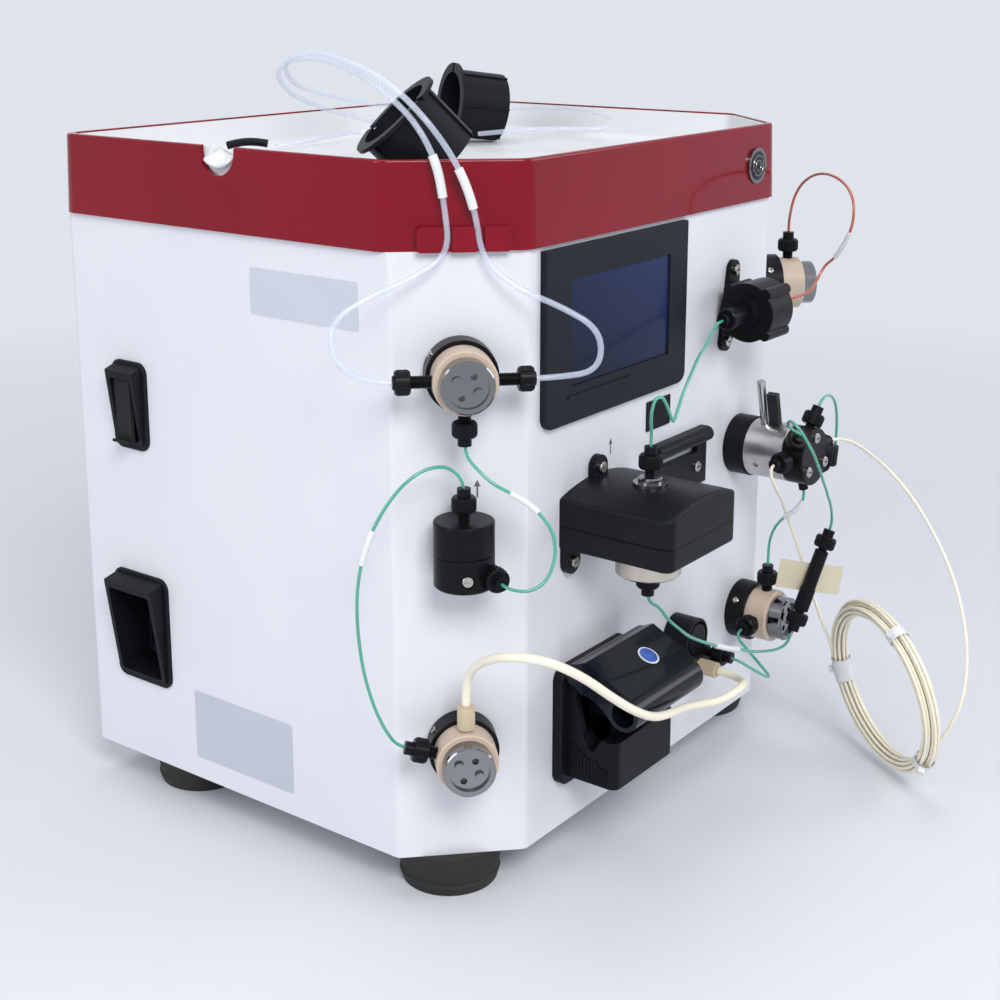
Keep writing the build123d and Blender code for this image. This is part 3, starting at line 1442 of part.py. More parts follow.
tube_wash_injection_route = (
    (107.8, -170.5, 122), (107.8, -170.5, 129), (106.9, -171, 136.4), (104.8, -172.8, 143.8),
    (102.2, -176, 150.9), (99.6, -180.6, 157.7), (97.4, -186.3, 163.6), (96.9, -192, 168),
    (98.6, -196.6, 173), (100.9, -197.4, 179.7), (100.3, -196.3, 186.1),
)
tube_injection_restrictor_route = (
    (77.9, -203.4, 222.9), (74.2, -206.9, 226.1), (65.5, -204.5, 230.5), (57, -205, 236.5),
    (50.5, -211, 241), (50.5, -218, 235), (55.5, -220.5, 226.5), (62, -221.5, 218.5),
    (68.5, -221, 210.5), (75.5, -220, 203.5), (82.5, -218.5, 196), (90, -217, 189.5),
    (97.5, -214.5, 183.5), (105, -213, 176.5), (112.5, -210.5, 170), (119.5, -208, 163),
    (125.2, -205.6, 155.2), (122.7, -204.5, 148.7),
)
tube_injection_bridge_route = (
    (111.7, -197.8, 231.3), (114.1, -198.7, 235.8), (118.6, -199.3, 239.5), (125.5, -199.6, 239.2),
    (133, -199, 235.3), (139, -198.2, 228.5), (143, -197.3, 219.8), (144.5, -196.8, 210.5),
    (143.6, -196.8, 201.5), (138.6, -197.8, 193.8), (129.9, -199, 190.6), (124.1, -197.8, 193.3),
)
tube_conductivity_optics_route = (
    (37, -172, 298.3), (29, -172, 298.3), (18.1, -174.5, 295.3), (5.3, -178.5, 290.2),
    (-8.5, -181.5, 286.5), (-23, -186, 281.2), (-35, -189.3, 276.3), (-43.2, -191.3, 271),
    (-48.9, -192, 264.4), (-51.9, -192.4, 260.1), (-54.5, -192.6, 260), (-56.5, -192.4, 264),
    (-60.6, -192, 271.2), (-64.2, -191.3, 275.8), (-68.6, -190, 275.4), (-69.8, -188.6, 269.5),
    (-67.7, -187, 262.5), (-65, -185.8, 256), (-64, -185, 250), (-64, -185, 244.3),
)
pump_tube_route = (
    (-169.5, -139.5, 122.5), (-169.5, -139.5, 138.5), (-177.5, -155.5, 153.5), (-183.5, -176, 164),
    (-178.5, -198, 165.5), (-162, -208.5, 153.5), (-144.5, -213.5, 138), (-126, -215.5, 124),
    (-105.5, -215.5, 112), (-83, -212.5, 105), (-60.5, -208, 99), (-38.5, -205.5, 92),
    (-15.5, -207, 86), (7.5, -209.5, 88), (26.5, -198, 82.2), (26.5, -182, 83),
)
loop_lead_upper_route = (
    (126.9, -197.8, 207.9), (136.7, -199.6, 208.6), (143.5, -208.5, 206.2), (141.2, -221, 201.6),
    (136.5, -236.5, 194.8), (132, -253, 183.5), (128.5, -267, 169), (126.5, -279, 152.5),
    (122.5, -289.5, 136), (117.5, -298, 118), (110.5, -304.5, 100.5), (103, -308, 81.5),
    (95.5, -306.8, 61.8), (86.8, -300.4, 44),
)
loop_lead_lower_route = (
    (69.4, -193, 205.9), (65, -192.2, 205.9), (63.2, -192.6, 201.2), (66, -192.9, 195.6),
    (71.5, -192.3, 189.7), (79, -190.6, 183.6), (88.3, -188.6, 177), (98, -185.6, 168.2),
    (104.5, -185.2, 160), (108.5, -186.5, 151.5), (111.8, -188, 143), (114.5, -189.5, 134.5),
    (116.5, -192, 125.8), (117.2, -194.8, 117), (118, -198, 108.5), (119.8, -200.8, 99),
    (122.8, -202.8, 90), (126.6, -204.3, 81.3), (130.8, -206, 73), (134.2, -207.6, 64.6),
)
outlet_tube_route = (
    (172.7, -142.7, 328.4), (172.7, -142.7, 336.4), (166, -146.5, 343), (170, -146.5, 353.5),
    (169, -151.5, 363), (164.5, -159.5, 369), (158.5, -168, 372.5), (152, -177, 374),
    (145, -185.5, 374), (138.5, -194, 372.5), (132.5, -202.5, 368.5), (126.5, -209, 361.5),
    (124, -210.5, 351), (126.5, -207, 341), (130.5, -201, 332.5), (134.5, -194.5, 324.5),
    (138.5, -186, 318.5), (133, -184, 310), (124, -184, 303.5), (116, -177, 300),
    (107, -172, 298.3), (99, -172, 298.3),
)


def flexible_tube(label, route, diameter):
    """Tube of straight runs joined by tangent arcs, each arc as wide as its shorter run allows."""
    corners = [Vector(*point) for point in route]
    radii = []
    for before, corner, after in zip(corners, corners[1:], corners[2:]):
        shorter_run = min((corner - before).length, (after - corner).length)
        turn = (corner - before).get_angle(after - corner)
        radii.append(arc_share * shorter_run / tan(radians(turn / 2)))
    with BuildPart() as tube:
        with BuildLine():
            centre_line = FilletPolyline(*corners, radius=radii)
        with BuildSketch(centre_line ^ 0):
            Circle(diameter / 2)
        sweep(path=centre_line)
    expected_volume = pi * (diameter / 2) ** 2 * centre_line.length
    print(label, "radii", [round(radius, 1) for radius in radii])
    print(label, "volume share", round(tube.part.volume / expected_volume, 3))
    tube.part.label = label
    return tube.part


tubes = [
    flexible_tube("buffer_tube_left", buffer_tube_left_route, buffer_tube_diameter),
    flexible_tube("buffer_tube_right", buffer_tube_right_route, buffer_tube_diameter),
    flexible_tube("tube_buffer_mixer", tube_buffer_mixer_route, capillary_diameter),
    flexible_tube("tube_mixer_sample", tube_mixer_sample_route, capillary_diameter),
    flexible_tube("tube_optics_restrictor", tube_optics_restrictor_route, capillary_diameter),
    flexible_tube("tube_wash_sensor", tube_wash_sensor_route, capillary_diameter),
    flexible_tube("tube_wash_injection", tube_wash_injection_route, capillary_diameter),
    flexible_tube("tube_injection_restrictor", tube_injection_restrictor_route, capillary_diameter),
    flexible_tube("tube_injection_bridge", tube_injection_bridge_route, capillary_diameter),
    flexible_tube("tube_conductivity_optics", tube_conductivity_optics_route, capillary_diameter),
    flexible_tube("pump_tube", pump_tube_route, pump_tube_diameter),
    flexible_tube("loop_lead_upper", loop_lead_upper_route, loop_diameter),
    flexible_tube("loop_lead_lower", loop_lead_lower_route, loop_diameter),
    flexible_tube("outlet_tube", outlet_tube_route, capillary_diameter),
]

# Coil of the sample loop, as the closed ring that its turns fill
with BuildPart() as sample_coil:
    with Locations(Plane(origin=coil_centre, z_dir=coil_axis)):
        Torus(coil_radius, coil_bundle_radius)
sample_coil.part.label = "sample_coil"

# Saved with the origin on the bench under the middle of the rigid pieces
pieces = [
    housing_shell.part,
    base_plate.part,
    rear_panel.part,
    top_rim.part,
    badge_disc,
    buffer_tray.part,
    feet.part,
    display_bezel.part,
    touch_screen.part,
    valve_bodies.part,
    valve_collars.part,
    valve_caps.part,
    mixer_base.part,
    mixer_chamber.part,
    optics_upper_cover.part,
    optics_lower_cover.part,
    optics_flow_cell.part,
    optics_gland.part,
    column_holder.part,
    column_cover.part,
    conductivity_cell.part,
    conductivity_bracket.part,
    injection_collar.part,
    injection_barrel.part,
    injection_handle.part,
    injection_stator.part,
    flow_restrictor.part,
    pressure_sensor.part,
    pump_housing.part,
    pump_rotor.part,
    pump_lid.part,
    pump_motor.part,
    power_hood,
    usb_hood.part,
    power_inlet.part,
    power_rocker.part,
    usb_flap.part,
    tube_holder_front,
    tube_holder_rear,
    power_supply.part,
    control_board.part,
    finger_fittings.part,
    pump_tube_fittings.part,
    panel_screws.part,
    valve_drives.part,
    sample_coil.part,
]
pieces.extend(tubes)
for piece in pieces:
    export_step(piece.moved(Location((origin_shift_x, origin_shift_y, 0))), f"parts/{piece.label}.step")
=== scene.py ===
"""Dresses the chromatography system: finishes, tubing, labels and small parts, then light and camera.

Sizes on the instrument are in millimetres in the case's own frame: X to the right from the middle of
the case, Y back from its middle and Z up from the bench. Case.place turns them into the frame's metres.
"""
import logging
import math
from dataclasses import dataclass
from enum import Enum
from typing import Any, Iterable, Sequence

import bmesh
import bpy
import numpy as np
from mathutils import Matrix, Vector

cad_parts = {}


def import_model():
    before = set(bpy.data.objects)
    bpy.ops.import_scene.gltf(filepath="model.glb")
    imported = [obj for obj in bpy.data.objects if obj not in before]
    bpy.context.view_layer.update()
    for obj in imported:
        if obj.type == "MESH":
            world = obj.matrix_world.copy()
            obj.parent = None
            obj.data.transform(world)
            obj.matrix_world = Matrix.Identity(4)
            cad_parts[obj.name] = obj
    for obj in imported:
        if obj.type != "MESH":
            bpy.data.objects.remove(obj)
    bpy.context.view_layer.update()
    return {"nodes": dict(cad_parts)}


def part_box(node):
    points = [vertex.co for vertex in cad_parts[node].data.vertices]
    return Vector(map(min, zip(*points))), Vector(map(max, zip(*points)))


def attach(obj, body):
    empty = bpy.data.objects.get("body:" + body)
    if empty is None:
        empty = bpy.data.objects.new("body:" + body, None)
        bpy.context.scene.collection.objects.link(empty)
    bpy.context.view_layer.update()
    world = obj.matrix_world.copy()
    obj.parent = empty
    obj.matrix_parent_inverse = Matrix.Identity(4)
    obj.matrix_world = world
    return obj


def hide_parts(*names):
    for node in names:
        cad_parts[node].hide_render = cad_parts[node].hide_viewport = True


LOG = logging.getLogger("chromatography_system")
MILLIMETRE = 0.001

Point = tuple[float, float, float]
Route = tuple[Point, ...]
Colour = tuple[float, float, float]

# Control points of the tubes, in metres in the case's frame
BUFFER_TUBE_LEFT_ROUTE: Route = (
    (-0.193, -0.116, 0.2977), (-0.2029, -0.1061, 0.2977), (-0.22, -0.0965, 0.31),
    (-0.22, -0.096, 0.331), (-0.201, -0.1055, 0.3415), (-0.181, -0.1155, 0.3485),
    (-0.162, -0.1245, 0.359), (-0.1635, -0.123, 0.3825), (-0.166, -0.12, 0.406),
    (-0.1705, -0.109, 0.4265), (-0.171, -0.0895, 0.4395), (-0.166, -0.068, 0.4475),
    (-0.162, -0.045, 0.4525), (-0.1595, -0.0215, 0.4535), (-0.1555, 0, 0.4455),
    (-0.1375, 0.008, 0.4325), (-0.1155, 0.0105, 0.425), (-0.093, 0.015, 0.419),
    (-0.0705, 0.022, 0.4155), (-0.048, 0.028, 0.41), (-0.026, 0.0365, 0.4075),
    (-0.004, 0.044, 0.403), (0.0175, 0.0535, 0.399), (0.0365, 0.067, 0.3955),
    (0.051, 0.0855, 0.3935), (0.056, 0.1085, 0.3925), (0.04, 0.1235, 0.3915),
    (0.0165, 0.1245, 0.39), (-0.007, 0.123, 0.3885), (-0.0298, 0.1244, 0.3875),
)
BUFFER_TUBE_RIGHT_ROUTE: Route = (
    (-0.146, -0.163, 0.2977), (-0.1361, -0.1729, 0.2977), (-0.1245, -0.191, 0.3015),
    (-0.125, -0.192, 0.3225), (-0.134, -0.1735, 0.334), (-0.1435, -0.153, 0.342),
    (-0.151, -0.1365, 0.3565), (-0.1525, -0.134, 0.3795), (-0.159, -0.1295, 0.4015),
    (-0.169, -0.122, 0.421), (-0.1735, -0.106, 0.4375), (-0.17, -0.0845, 0.447),
    (-0.169, -0.062, 0.454), (-0.168, -0.0385, 0.4575), (-0.1665, -0.0165, 0.451),
    (-0.1495, -0.007, 0.4385), (-0.127, -0.002, 0.433), (-0.1045, 0.004, 0.429),
    (-0.0825, 0.012, 0.425), (-0.06, 0.0205, 0.422), (-0.0375, 0.0275, 0.4195),
    (-0.0155, 0.036, 0.417), (0.006, 0.046, 0.4155), (0.028, 0.0555, 0.4125),
    (0.049, 0.0655, 0.411), (0.072, 0.0745, 0.4085), (0.089, 0.09, 0.407), (0.107, 0.103, 0.4045),
    (0.134, 0.105, 0.402), (0.154, 0.088, 0.402), (0.162, 0.062, 0.4035), (0.158, 0.0265, 0.4055),
    (0.15, 0.004, 0.4055), (0.1385, -0.0165, 0.4045), (0.123, -0.0345, 0.4025),
    (0.104, -0.048, 0.401), (0.081, -0.053, 0.4), (0.0595, -0.0435, 0.4015),
    (0.049, -0.023, 0.401), (0.0495, 0.0005, 0.398), (0.0548, 0.0227, 0.3951),
)
TUBE_BUFFER_MIXER_ROUTE: Route = (
    (-0.1695, -0.1395, 0.2669), (-0.1695, -0.1395, 0.2589), (-0.1665, -0.146, 0.251),
    (-0.164, -0.1535, 0.2445), (-0.1605, -0.163, 0.2405), (-0.1565, -0.171, 0.2355),
    (-0.153, -0.178, 0.228), (-0.15, -0.182, 0.2185), (-0.1525, -0.184, 0.2075),
    (-0.1585, -0.1833, 0.198), (-0.1655, -0.1792, 0.1936), (-0.1704, -0.173, 0.1936),
    (-0.1711, -0.1658, 0.1945), (-0.168, -0.1607, 0.1945),
)
TUBE_MIXER_SAMPLE_ROUTE: Route = (
    (-0.1663, -0.1363, 0.237), (-0.1663, -0.1363, 0.244), (-0.173, -0.1315, 0.2525),
    (-0.183, -0.125, 0.2525), (-0.1925, -0.12, 0.247), (-0.1995, -0.1155, 0.2385),
    (-0.205, -0.1115, 0.2285), (-0.2095, -0.1085, 0.2175), (-0.212, -0.106, 0.206),
    (-0.214, -0.105, 0.194), (-0.2145, -0.1045, 0.182), (-0.214, -0.1045, 0.17),
    (-0.213, -0.105, 0.1575), (-0.211, -0.1055, 0.1455), (-0.2085, -0.1065, 0.1345),
    (-0.2055, -0.1085, 0.1225), (-0.2015, -0.1115, 0.111), (-0.1953, -0.1137, 0.1011),
    (-0.1905, -0.1185, 0.0993),
)
TUBE_OPTICS_RESTRICTOR_ROUTE: Route = (
    (-0.064, -0.185, 0.1645), (-0.064, -0.185, 0.1575), (-0.055, -0.1875, 0.152),
    (-0.048, -0.1895, 0.142), (-0.0385, -0.191, 0.134), (-0.0285, -0.1915, 0.1265),
    (-0.018, -0.1925, 0.1205), (-0.007, -0.1935, 0.115), (0.0045, -0.194, 0.1095),
    (0.0155, -0.195, 0.1045), (0.027, -0.195, 0.1005), (0.039, -0.196, 0.095),
    (0.0505, -0.196, 0.091), (0.062, -0.1965, 0.0875), (0.074, -0.1965, 0.0845),
    (0.0865, -0.196, 0.083), (0.0982, -0.1934, 0.0845), (0.1007, -0.1945, 0.091),
)
TUBE_WASH_SENSOR_ROUTE: Route = (
    (0.077, -0.1705, 0.0913), (0.071, -0.1705, 0.0911), (0.066, -0.173, 0.0886),
    (0.065, -0.179, 0.0845), (0.0645, -0.185, 0.08), (0.063, -0.1915, 0.076),
    (0.061, -0.1978, 0.0725), (0.0555, -0.201, 0.0735), (0.05, -0.1985, 0.077),
    (0.0445, -0.1945, 0.0815), (0.0393, -0.1885, 0.087), (0.0382, -0.181, 0.0879),
)
TUBE_WASH_INJECTION_ROUTE: Route = (
    (0.1078, -0.1705, 0.122), (0.1078, -0.1705, 0.129), (0.1069, -0.171, 0.1364),
    (0.1048, -0.1728, 0.1438), (0.1022, -0.176, 0.1509), (0.0996, -0.1806, 0.1577),
    (0.0974, -0.1863, 0.1636), (0.0969, -0.192, 0.168), (0.0986, -0.1966, 0.173),
    (0.1009, -0.1974, 0.1797), (0.1003, -0.1963, 0.1861),
)
TUBE_INJECTION_RESTRICTOR_ROUTE: Route = (
    (0.0779, -0.2034, 0.2229), (0.0742, -0.2069, 0.2261), (0.0655, -0.2045, 0.2305),
    (0.057, -0.205, 0.2365), (0.0505, -0.211, 0.241), (0.0505, -0.218, 0.235),
    (0.0555, -0.2205, 0.2265), (0.062, -0.2215, 0.2185), (0.0685, -0.221, 0.2105),
    (0.0755, -0.22, 0.2035), (0.0825, -0.2185, 0.196), (0.09, -0.217, 0.1895),
    (0.0975, -0.2145, 0.1835), (0.105, -0.213, 0.1765), (0.1125, -0.2105, 0.17),
    (0.1195, -0.208, 0.163), (0.1252, -0.2056, 0.1552), (0.1227, -0.2045, 0.1487),
)
TUBE_INJECTION_BRIDGE_ROUTE: Route = (
    (0.1117, -0.1978, 0.2313), (0.1141, -0.1987, 0.2358), (0.1186, -0.1993, 0.2395),
    (0.1255, -0.1996, 0.2392), (0.133, -0.199, 0.2353), (0.139, -0.1982, 0.2285),
    (0.143, -0.1973, 0.2198), (0.1445, -0.1968, 0.2105), (0.1436, -0.1968, 0.2015),
    (0.1386, -0.1978, 0.1938), (0.1299, -0.199, 0.1906), (0.1241, -0.1978, 0.1933),
)
TUBE_CONDUCTIVITY_OPTICS_ROUTE: Route = (
    (0.037, -0.172, 0.2983), (0.029, -0.172, 0.2983), (0.0181, -0.1745, 0.2953),
    (0.0053, -0.1785, 0.2902), (-0.0085, -0.1815, 0.2865), (-0.023, -0.186, 0.2812),
    (-0.035, -0.1893, 0.2763), (-0.0432, -0.1913, 0.271), (-0.0489, -0.192, 0.2644),
    (-0.0519, -0.1924, 0.2601), (-0.0545, -0.1926, 0.26), (-0.0565, -0.1924, 0.264),
    (-0.0606, -0.192, 0.2712), (-0.0642, -0.1913, 0.2758), (-0.0686, -0.19, 0.2754),
    (-0.0698, -0.1886, 0.2695), (-0.0677, -0.187, 0.2625), (-0.065, -0.1858, 0.256),
    (-0.064, -0.185, 0.25), (-0.064, -0.185, 0.2443),
)
PUMP_TUBE_ROUTE: Route = (
    (-0.1695, -0.1395, 0.1225), (-0.1695, -0.1395, 0.1385), (-0.1775, -0.1555, 0.1535),
    (-0.1835, -0.176, 0.164), (-0.1785, -0.198, 0.1655), (-0.162, -0.2085, 0.1535),
    (-0.1445, -0.2135, 0.138), (-0.126, -0.2155, 0.124), (-0.1055, -0.2155, 0.112),
    (-0.083, -0.2125, 0.105), (-0.0605, -0.208, 0.099), (-0.0385, -0.2055, 0.092),
    (-0.0155, -0.207, 0.086), (0.0075, -0.2095, 0.088), (0.0265, -0.198, 0.0822),
    (0.0265, -0.182, 0.083),
)
LOOP_LEAD_UPPER_ROUTE: Route = (
    (0.1269, -0.1978, 0.2079), (0.1367, -0.1996, 0.2086), (0.1435, -0.2085, 0.2062),
    (0.1412, -0.221, 0.2016), (0.1365, -0.2365, 0.1948), (0.132, -0.253, 0.1835),
    (0.1285, -0.267, 0.169), (0.1265, -0.279, 0.1525), (0.1225, -0.2895, 0.136),
    (0.1175, -0.298, 0.118), (0.1105, -0.3045, 0.1005), (0.103, -0.308, 0.0815),
    (0.0955, -0.3068, 0.0618), (0.0868, -0.3004, 0.044),
)
LOOP_LEAD_LOWER_ROUTE: Route = (
    (0.0694, -0.193, 0.2059), (0.065, -0.1922, 0.2059), (0.0632, -0.1926, 0.2012),
    (0.066, -0.1929, 0.1956), (0.0715, -0.1923, 0.1897), (0.079, -0.1906, 0.1836),
    (0.0883, -0.1886, 0.177), (0.098, -0.1856, 0.1682), (0.1045, -0.1852, 0.16),
    (0.1085, -0.1865, 0.1515), (0.1118, -0.188, 0.143), (0.1145, -0.1895, 0.1345),
    (0.1165, -0.192, 0.1258), (0.1172, -0.1948, 0.117), (0.118, -0.198, 0.1085),
    (0.1198, -0.2008, 0.099), (0.1228, -0.2028, 0.09), (0.1266, -0.2043, 0.0813),
    (0.1308, -0.206, 0.073), (0.1342, -0.2076, 0.0646),
)
OUTLET_TUBE_ROUTE: Route = (
    (0.1727, -0.1427, 0.3284), (0.1727, -0.1427, 0.3364), (0.166, -0.1465, 0.343),
    (0.17, -0.1465, 0.3535), (0.169, -0.1515, 0.363), (0.1645, -0.1595, 0.369),
    (0.1585, -0.168, 0.3725), (0.152, -0.177, 0.374), (0.145, -0.1855, 0.374),
    (0.1385, -0.194, 0.3725), (0.1325, -0.2025, 0.3685), (0.1265, -0.209, 0.3615),
    (0.124, -0.2105, 0.351), (0.1265, -0.207, 0.341), (0.1305, -0.201, 0.3325),
    (0.1345, -0.1945, 0.3245), (0.1385, -0.186, 0.3185), (0.133, -0.184, 0.31),
    (0.124, -0.184, 0.3035), (0.116, -0.177, 0.3), (0.107, -0.172, 0.2983),
    (0.099, -0.172, 0.2983),
)


class Body(Enum):
    """The bodies that pieces ride on."""

    CASE = "case"
    PUMP_LID = "pump_lid"
    KNOB = "injection_knob"


class Lay(Enum):
    """How a tube lies."""

    LOOSE = "loose"
    HANGING = "hanging"


@dataclass(frozen=True)
class Seat:
    """A place on the instrument with its right, up and outward directions.

    Attributes:
        origin: Point on the carrying face, in metres.
        right: Unit vector to the right along the face.
        up: Unit vector up along the face.
        out: Unit vector out of the face.
    """

    origin: Vector
    right: Vector
    up: Vector
    out: Vector

    def matrix(self) -> Matrix:
        """Return the matrix from seat coordinates to the frame."""
        turn = Matrix((self.right, self.up, self.out)).transposed().to_4x4()
        return Matrix.Translation(self.origin) @ turn

    def shifted(self, right: float = 0, up: float = 0, out: float = 0) -> "Seat":
        """Return the seat moved along its own directions, in millimetres."""
        step = (self.right * right + self.up * up + self.out * out) * MILLIMETRE
        return Seat(self.origin + step, self.right, self.up, self.out)

    def spun(self, angle: float) -> "Seat":
        """Return the seat turned in its face by an angle in degrees."""
        cosine = math.cos(math.radians(angle))
        sine = math.sin(math.radians(angle))
        right = self.right * cosine + self.up * sine
        up = self.up * cosine - self.right * sine
        return Seat(self.origin, right, up, self.out)


@dataclass(frozen=True)
class Case:
    """Sizes of the case, in millimetres, and where its middle stands in the frame."""

    middle_x: float
    middle_y: float
    half_width: float = 180
    half_depth: float = 150
    chamfer: float = 50

    @classmethod
    def from_frame(cls) -> "Case":
        """Return the case with its middle read from the shell's and the rear panel's boxes."""
        low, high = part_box("housing_shell")
        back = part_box("rear_panel")[1]
        return cls((low[0] + high[0]) / 2, (low[1] + back[1]) / 2)

    def place(self, x: float, y: float, z: float) -> Vector:
        """Return a point of the case's own frame, given in millimetres, in metres."""
        return Vector((self.middle_x + x * MILLIMETRE, self.middle_y + y * MILLIMETRE, z * MILLIMETRE))

    def route(self, points: Route) -> list[Vector]:
        """Return a tube's control points in the frame."""
        return [Vector((self.middle_x + x, self.middle_y + y, z)) for x, y, z in points]

    def front(self, x: float, z: float, out: float = 0) -> Seat:
        """Return a seat on the front panel."""
        origin = self.place(x, -self.half_depth - out, z)
        return Seat(origin, Vector((1, 0, 0)), Vector((0, 0, 1)), Vector((0, -1, 0)))

    def left_wall(self, y: float, z: float, out: float = 0) -> Seat:
        """Return a seat on the left wall."""
        origin = self.place(-self.half_width - out, y, z)
        return Seat(origin, Vector((0, -1, 0)), Vector((0, 0, 1)), Vector((-1, 0, 0)))

    def corner(self, side: int, along: float, z: float, out: float = 0) -> Seat:
        """Return a seat on a cut front corner; all sizes are in millimetres.

        Args:
            side: -1 for the left corner and 1 for the right.
            along: Distance from its middle.
            z: Height above the bench.
            out: Distance out of its face.

        Returns:
            The seat.
        """
        root = math.sqrt(0.5)
        x = side * (self.half_width - self.chamfer / 2) + root * (along + side * out)
        y = -self.half_depth + self.chamfer / 2 + root * (side * along - out)
        right = Vector((root, side * root, 0))
        return Seat(self.place(x, y, z), right, Vector((0, 0, 1)), Vector((side * root, -root, 0)))


class Value:
    """A number that varies over a surface, held by a shader socket; arithmetic adds Math nodes."""

    def __init__(self, graph: "Graph", socket: bpy.types.NodeSocket) -> None:
        """Keep the graph and the socket that gives the number."""
        self.graph = graph
        self.socket = socket

    def _math(self, operation: str, first: Any, second: Any, clamp: bool = False) -> "Value":
        """Return the result of a Math node."""
        settings = {"operation": operation, "use_clamp": clamp}
        node = self.graph.node("ShaderNodeMath", settings, {0: first, 1: second})
        return Value(self.graph, node.outputs[0])

    def __add__(self, other: Any) -> "Value":
        """Return the sum."""
        return self._math("ADD", self, other)

    __radd__ = __add__

    def __mul__(self, other: Any) -> "Value":
        """Return the product."""
        return self._math("MULTIPLY", self, other)

    __rmul__ = __mul__

    def __sub__(self, other: Any) -> "Value":
        """Return the difference."""
        return self._math("SUBTRACT", self, other)

    def __rsub__(self, other: Any) -> "Value":
        """Return the difference the other way round."""
        return self._math("SUBTRACT", other, self)

    def size(self) -> "Value":
        """Return the number without its sign."""
        return self._math("ABSOLUTE", self, 0)

    def step(self, low: float, high: float) -> "Value":
        """Return 0 below low, 1 above high and a straight ramp between them."""
        return self._math("MULTIPLY", self - low, 1 / (high - low), clamp=True)


class Graph:
    """The node tree of one material."""

    def __init__(self, name: str) -> None:
        """Start an empty tree with its surface shader and output."""
        self.material = bpy.data.materials.new(name)
        self.material.use_nodes = True
        self.tree = self.material.node_tree
        self.tree.nodes.clear()
        self.surface = self.tree.nodes.new("ShaderNodeBsdfPrincipled")
        output = self.tree.nodes.new("ShaderNodeOutputMaterial")
        self.tree.links.new(self.surface.outputs[0], output.inputs["Surface"])

    def node(self, kind: str, settings: dict[str, Any], inputs: dict[Any, Any]) -> bpy.types.Node:
        """Add a node.

        Args:
            kind: Blender's type name of the node.
            settings: Its properties, set before its sockets.
            inputs: Its sockets by name or number, with numbers, colours, sockets or Values.

        Returns:
            The new node.
        """
        node = self.tree.nodes.new(kind)
        for name, setting in settings.items():
            setattr(node, name, setting)
        for key, value in inputs.items():
            self.feed(node.inputs[key], value)
        return node

    def feed(self, socket: bpy.types.NodeSocket, value: Any) -> None:
        """Link a socket to a Value or another socket, or set it."""
        if isinstance(value, Value):
            value = value.socket
        if isinstance(value, bpy.types.NodeSocket):
            self.tree.links.new(value, socket)
        elif isinstance(value, tuple) and len(value) == 3 and socket.type == "RGBA":
            socket.default_value = (*value, 1)
        else:
            socket.default_value = value

    def place(self, stretch: Point = (1, 1, 1)) -> bpy.types.NodeSocket:
        """Return the object's own coordinates, stretched."""
        coordinates = self.node("ShaderNodeTexCoord", {}, {})
        mapping = self.node(
            "ShaderNodeMapping", {}, {"Vector": coordinates.outputs["Object"], "Scale": stretch}
        )
        return mapping.outputs[0]

    def noise(self, place: bpy.types.NodeSocket, scale: float, detail: float = 2) -> "Value":
        """Return a noise between about 0 and 1."""
        node = self.node("ShaderNodeTexNoise", {}, {"Vector": place, "Scale": scale, "Detail": detail})
        return Value(self, node.outputs["Fac"])

    def axis(self, place: bpy.types.NodeSocket, name: str) -> "Value":
        """Return one coordinate of a place, in metres."""
        node = self.node("ShaderNodeSeparateXYZ", {}, {0: place})
        return Value(self, node.outputs[name])

    def blend(self, factor: Any, first: Any, second: Any) -> bpy.types.NodeSocket:
        """Return a colour between two colours."""
        settings = {"data_type": "RGBA"}
        node = self.node("ShaderNodeMix", settings, {"Factor": factor, "A": first, "B": second})
        return node.outputs["Result"]

    def bump(self, height: Value, strength: float, distance: float) -> bpy.types.NodeSocket:
        """Return a normal roughened by a height."""
        inputs = {"Strength": strength, "Distance": distance, "Height": height}
        return self.node("ShaderNodeBump", {}, inputs).outputs[0]


@dataclass(frozen=True)
class Finish:
    """One finish of the instrument.

    Attributes:
        name: Plain name of the finish.
        colour: Main colour.
        shade: Colour of its faint cloudy patches.
        roughness: Middle roughness.
        spread: How much the roughness changes over the surface.
        metallic: 1 for bare metal.
        coat: Weight of a clear gloss layer.
        grain: Noise scale of the surface grain.
        relief: Depth of the grain, in metres.
        brushed: Stretch of the grain along each axis.
        alpha: Below 1 for clear tubing.
        seam: Height of a joint line round the piece, in metres, or 0 for none.
        specular: Strength of its surface reflection.
        slot: Name of the material slot that a piece with this finish belongs to; not used.
    """

    name: str
    colour: Colour
    shade: Colour
    roughness: float
    spread: float = 0.06
    metallic: float = 0
    coat: float = 0
    grain: float = 900
    relief: float = 0.00004
    brushed: Point = (1, 1, 1)
    alpha: float = 1
    seam: float = 0
    specular: float = 0.4
    slot: str = ""

    def build(self) -> bpy.types.Material:
        """Return the material with mottled colour, uneven gloss and grain."""
        graph = Graph(self.name)
        place = graph.place()
        cloud = graph.noise(place, 14, 4)
        grain = graph.noise(graph.place(self.brushed), self.grain, 3)
        surface = graph.surface.inputs
        colour = graph.blend(cloud.step(0.3, 0.7), self.colour, self.shade)
        uneven = (cloud - 0.5) * self.spread + (grain - 0.5) * self.spread + self.roughness
        normal = graph.bump(grain, 0.5, self.relief)
        if self.seam:
            away = (graph.axis(place, "Z") - self.seam).size()
            groove = away.step(0.0002, 0.0007)
            colour = graph.blend(groove, (0.001, 0.001, 0.001), colour)
            normal = graph.bump(groove, 1.0, 0.0006)
        graph.feed(surface["Base Color"], colour)
        graph.feed(surface["Roughness"], uneven)
        graph.feed(surface["Normal"], normal)
        surface["Metallic"].default_value = self.metallic
        surface["Specular IOR Level"].default_value = self.specular
        surface["Coat Weight"].default_value = self.coat
        surface["Coat Roughness"].default_value = 0.06
        surface["Alpha"].default_value = self.alpha
        return graph.material


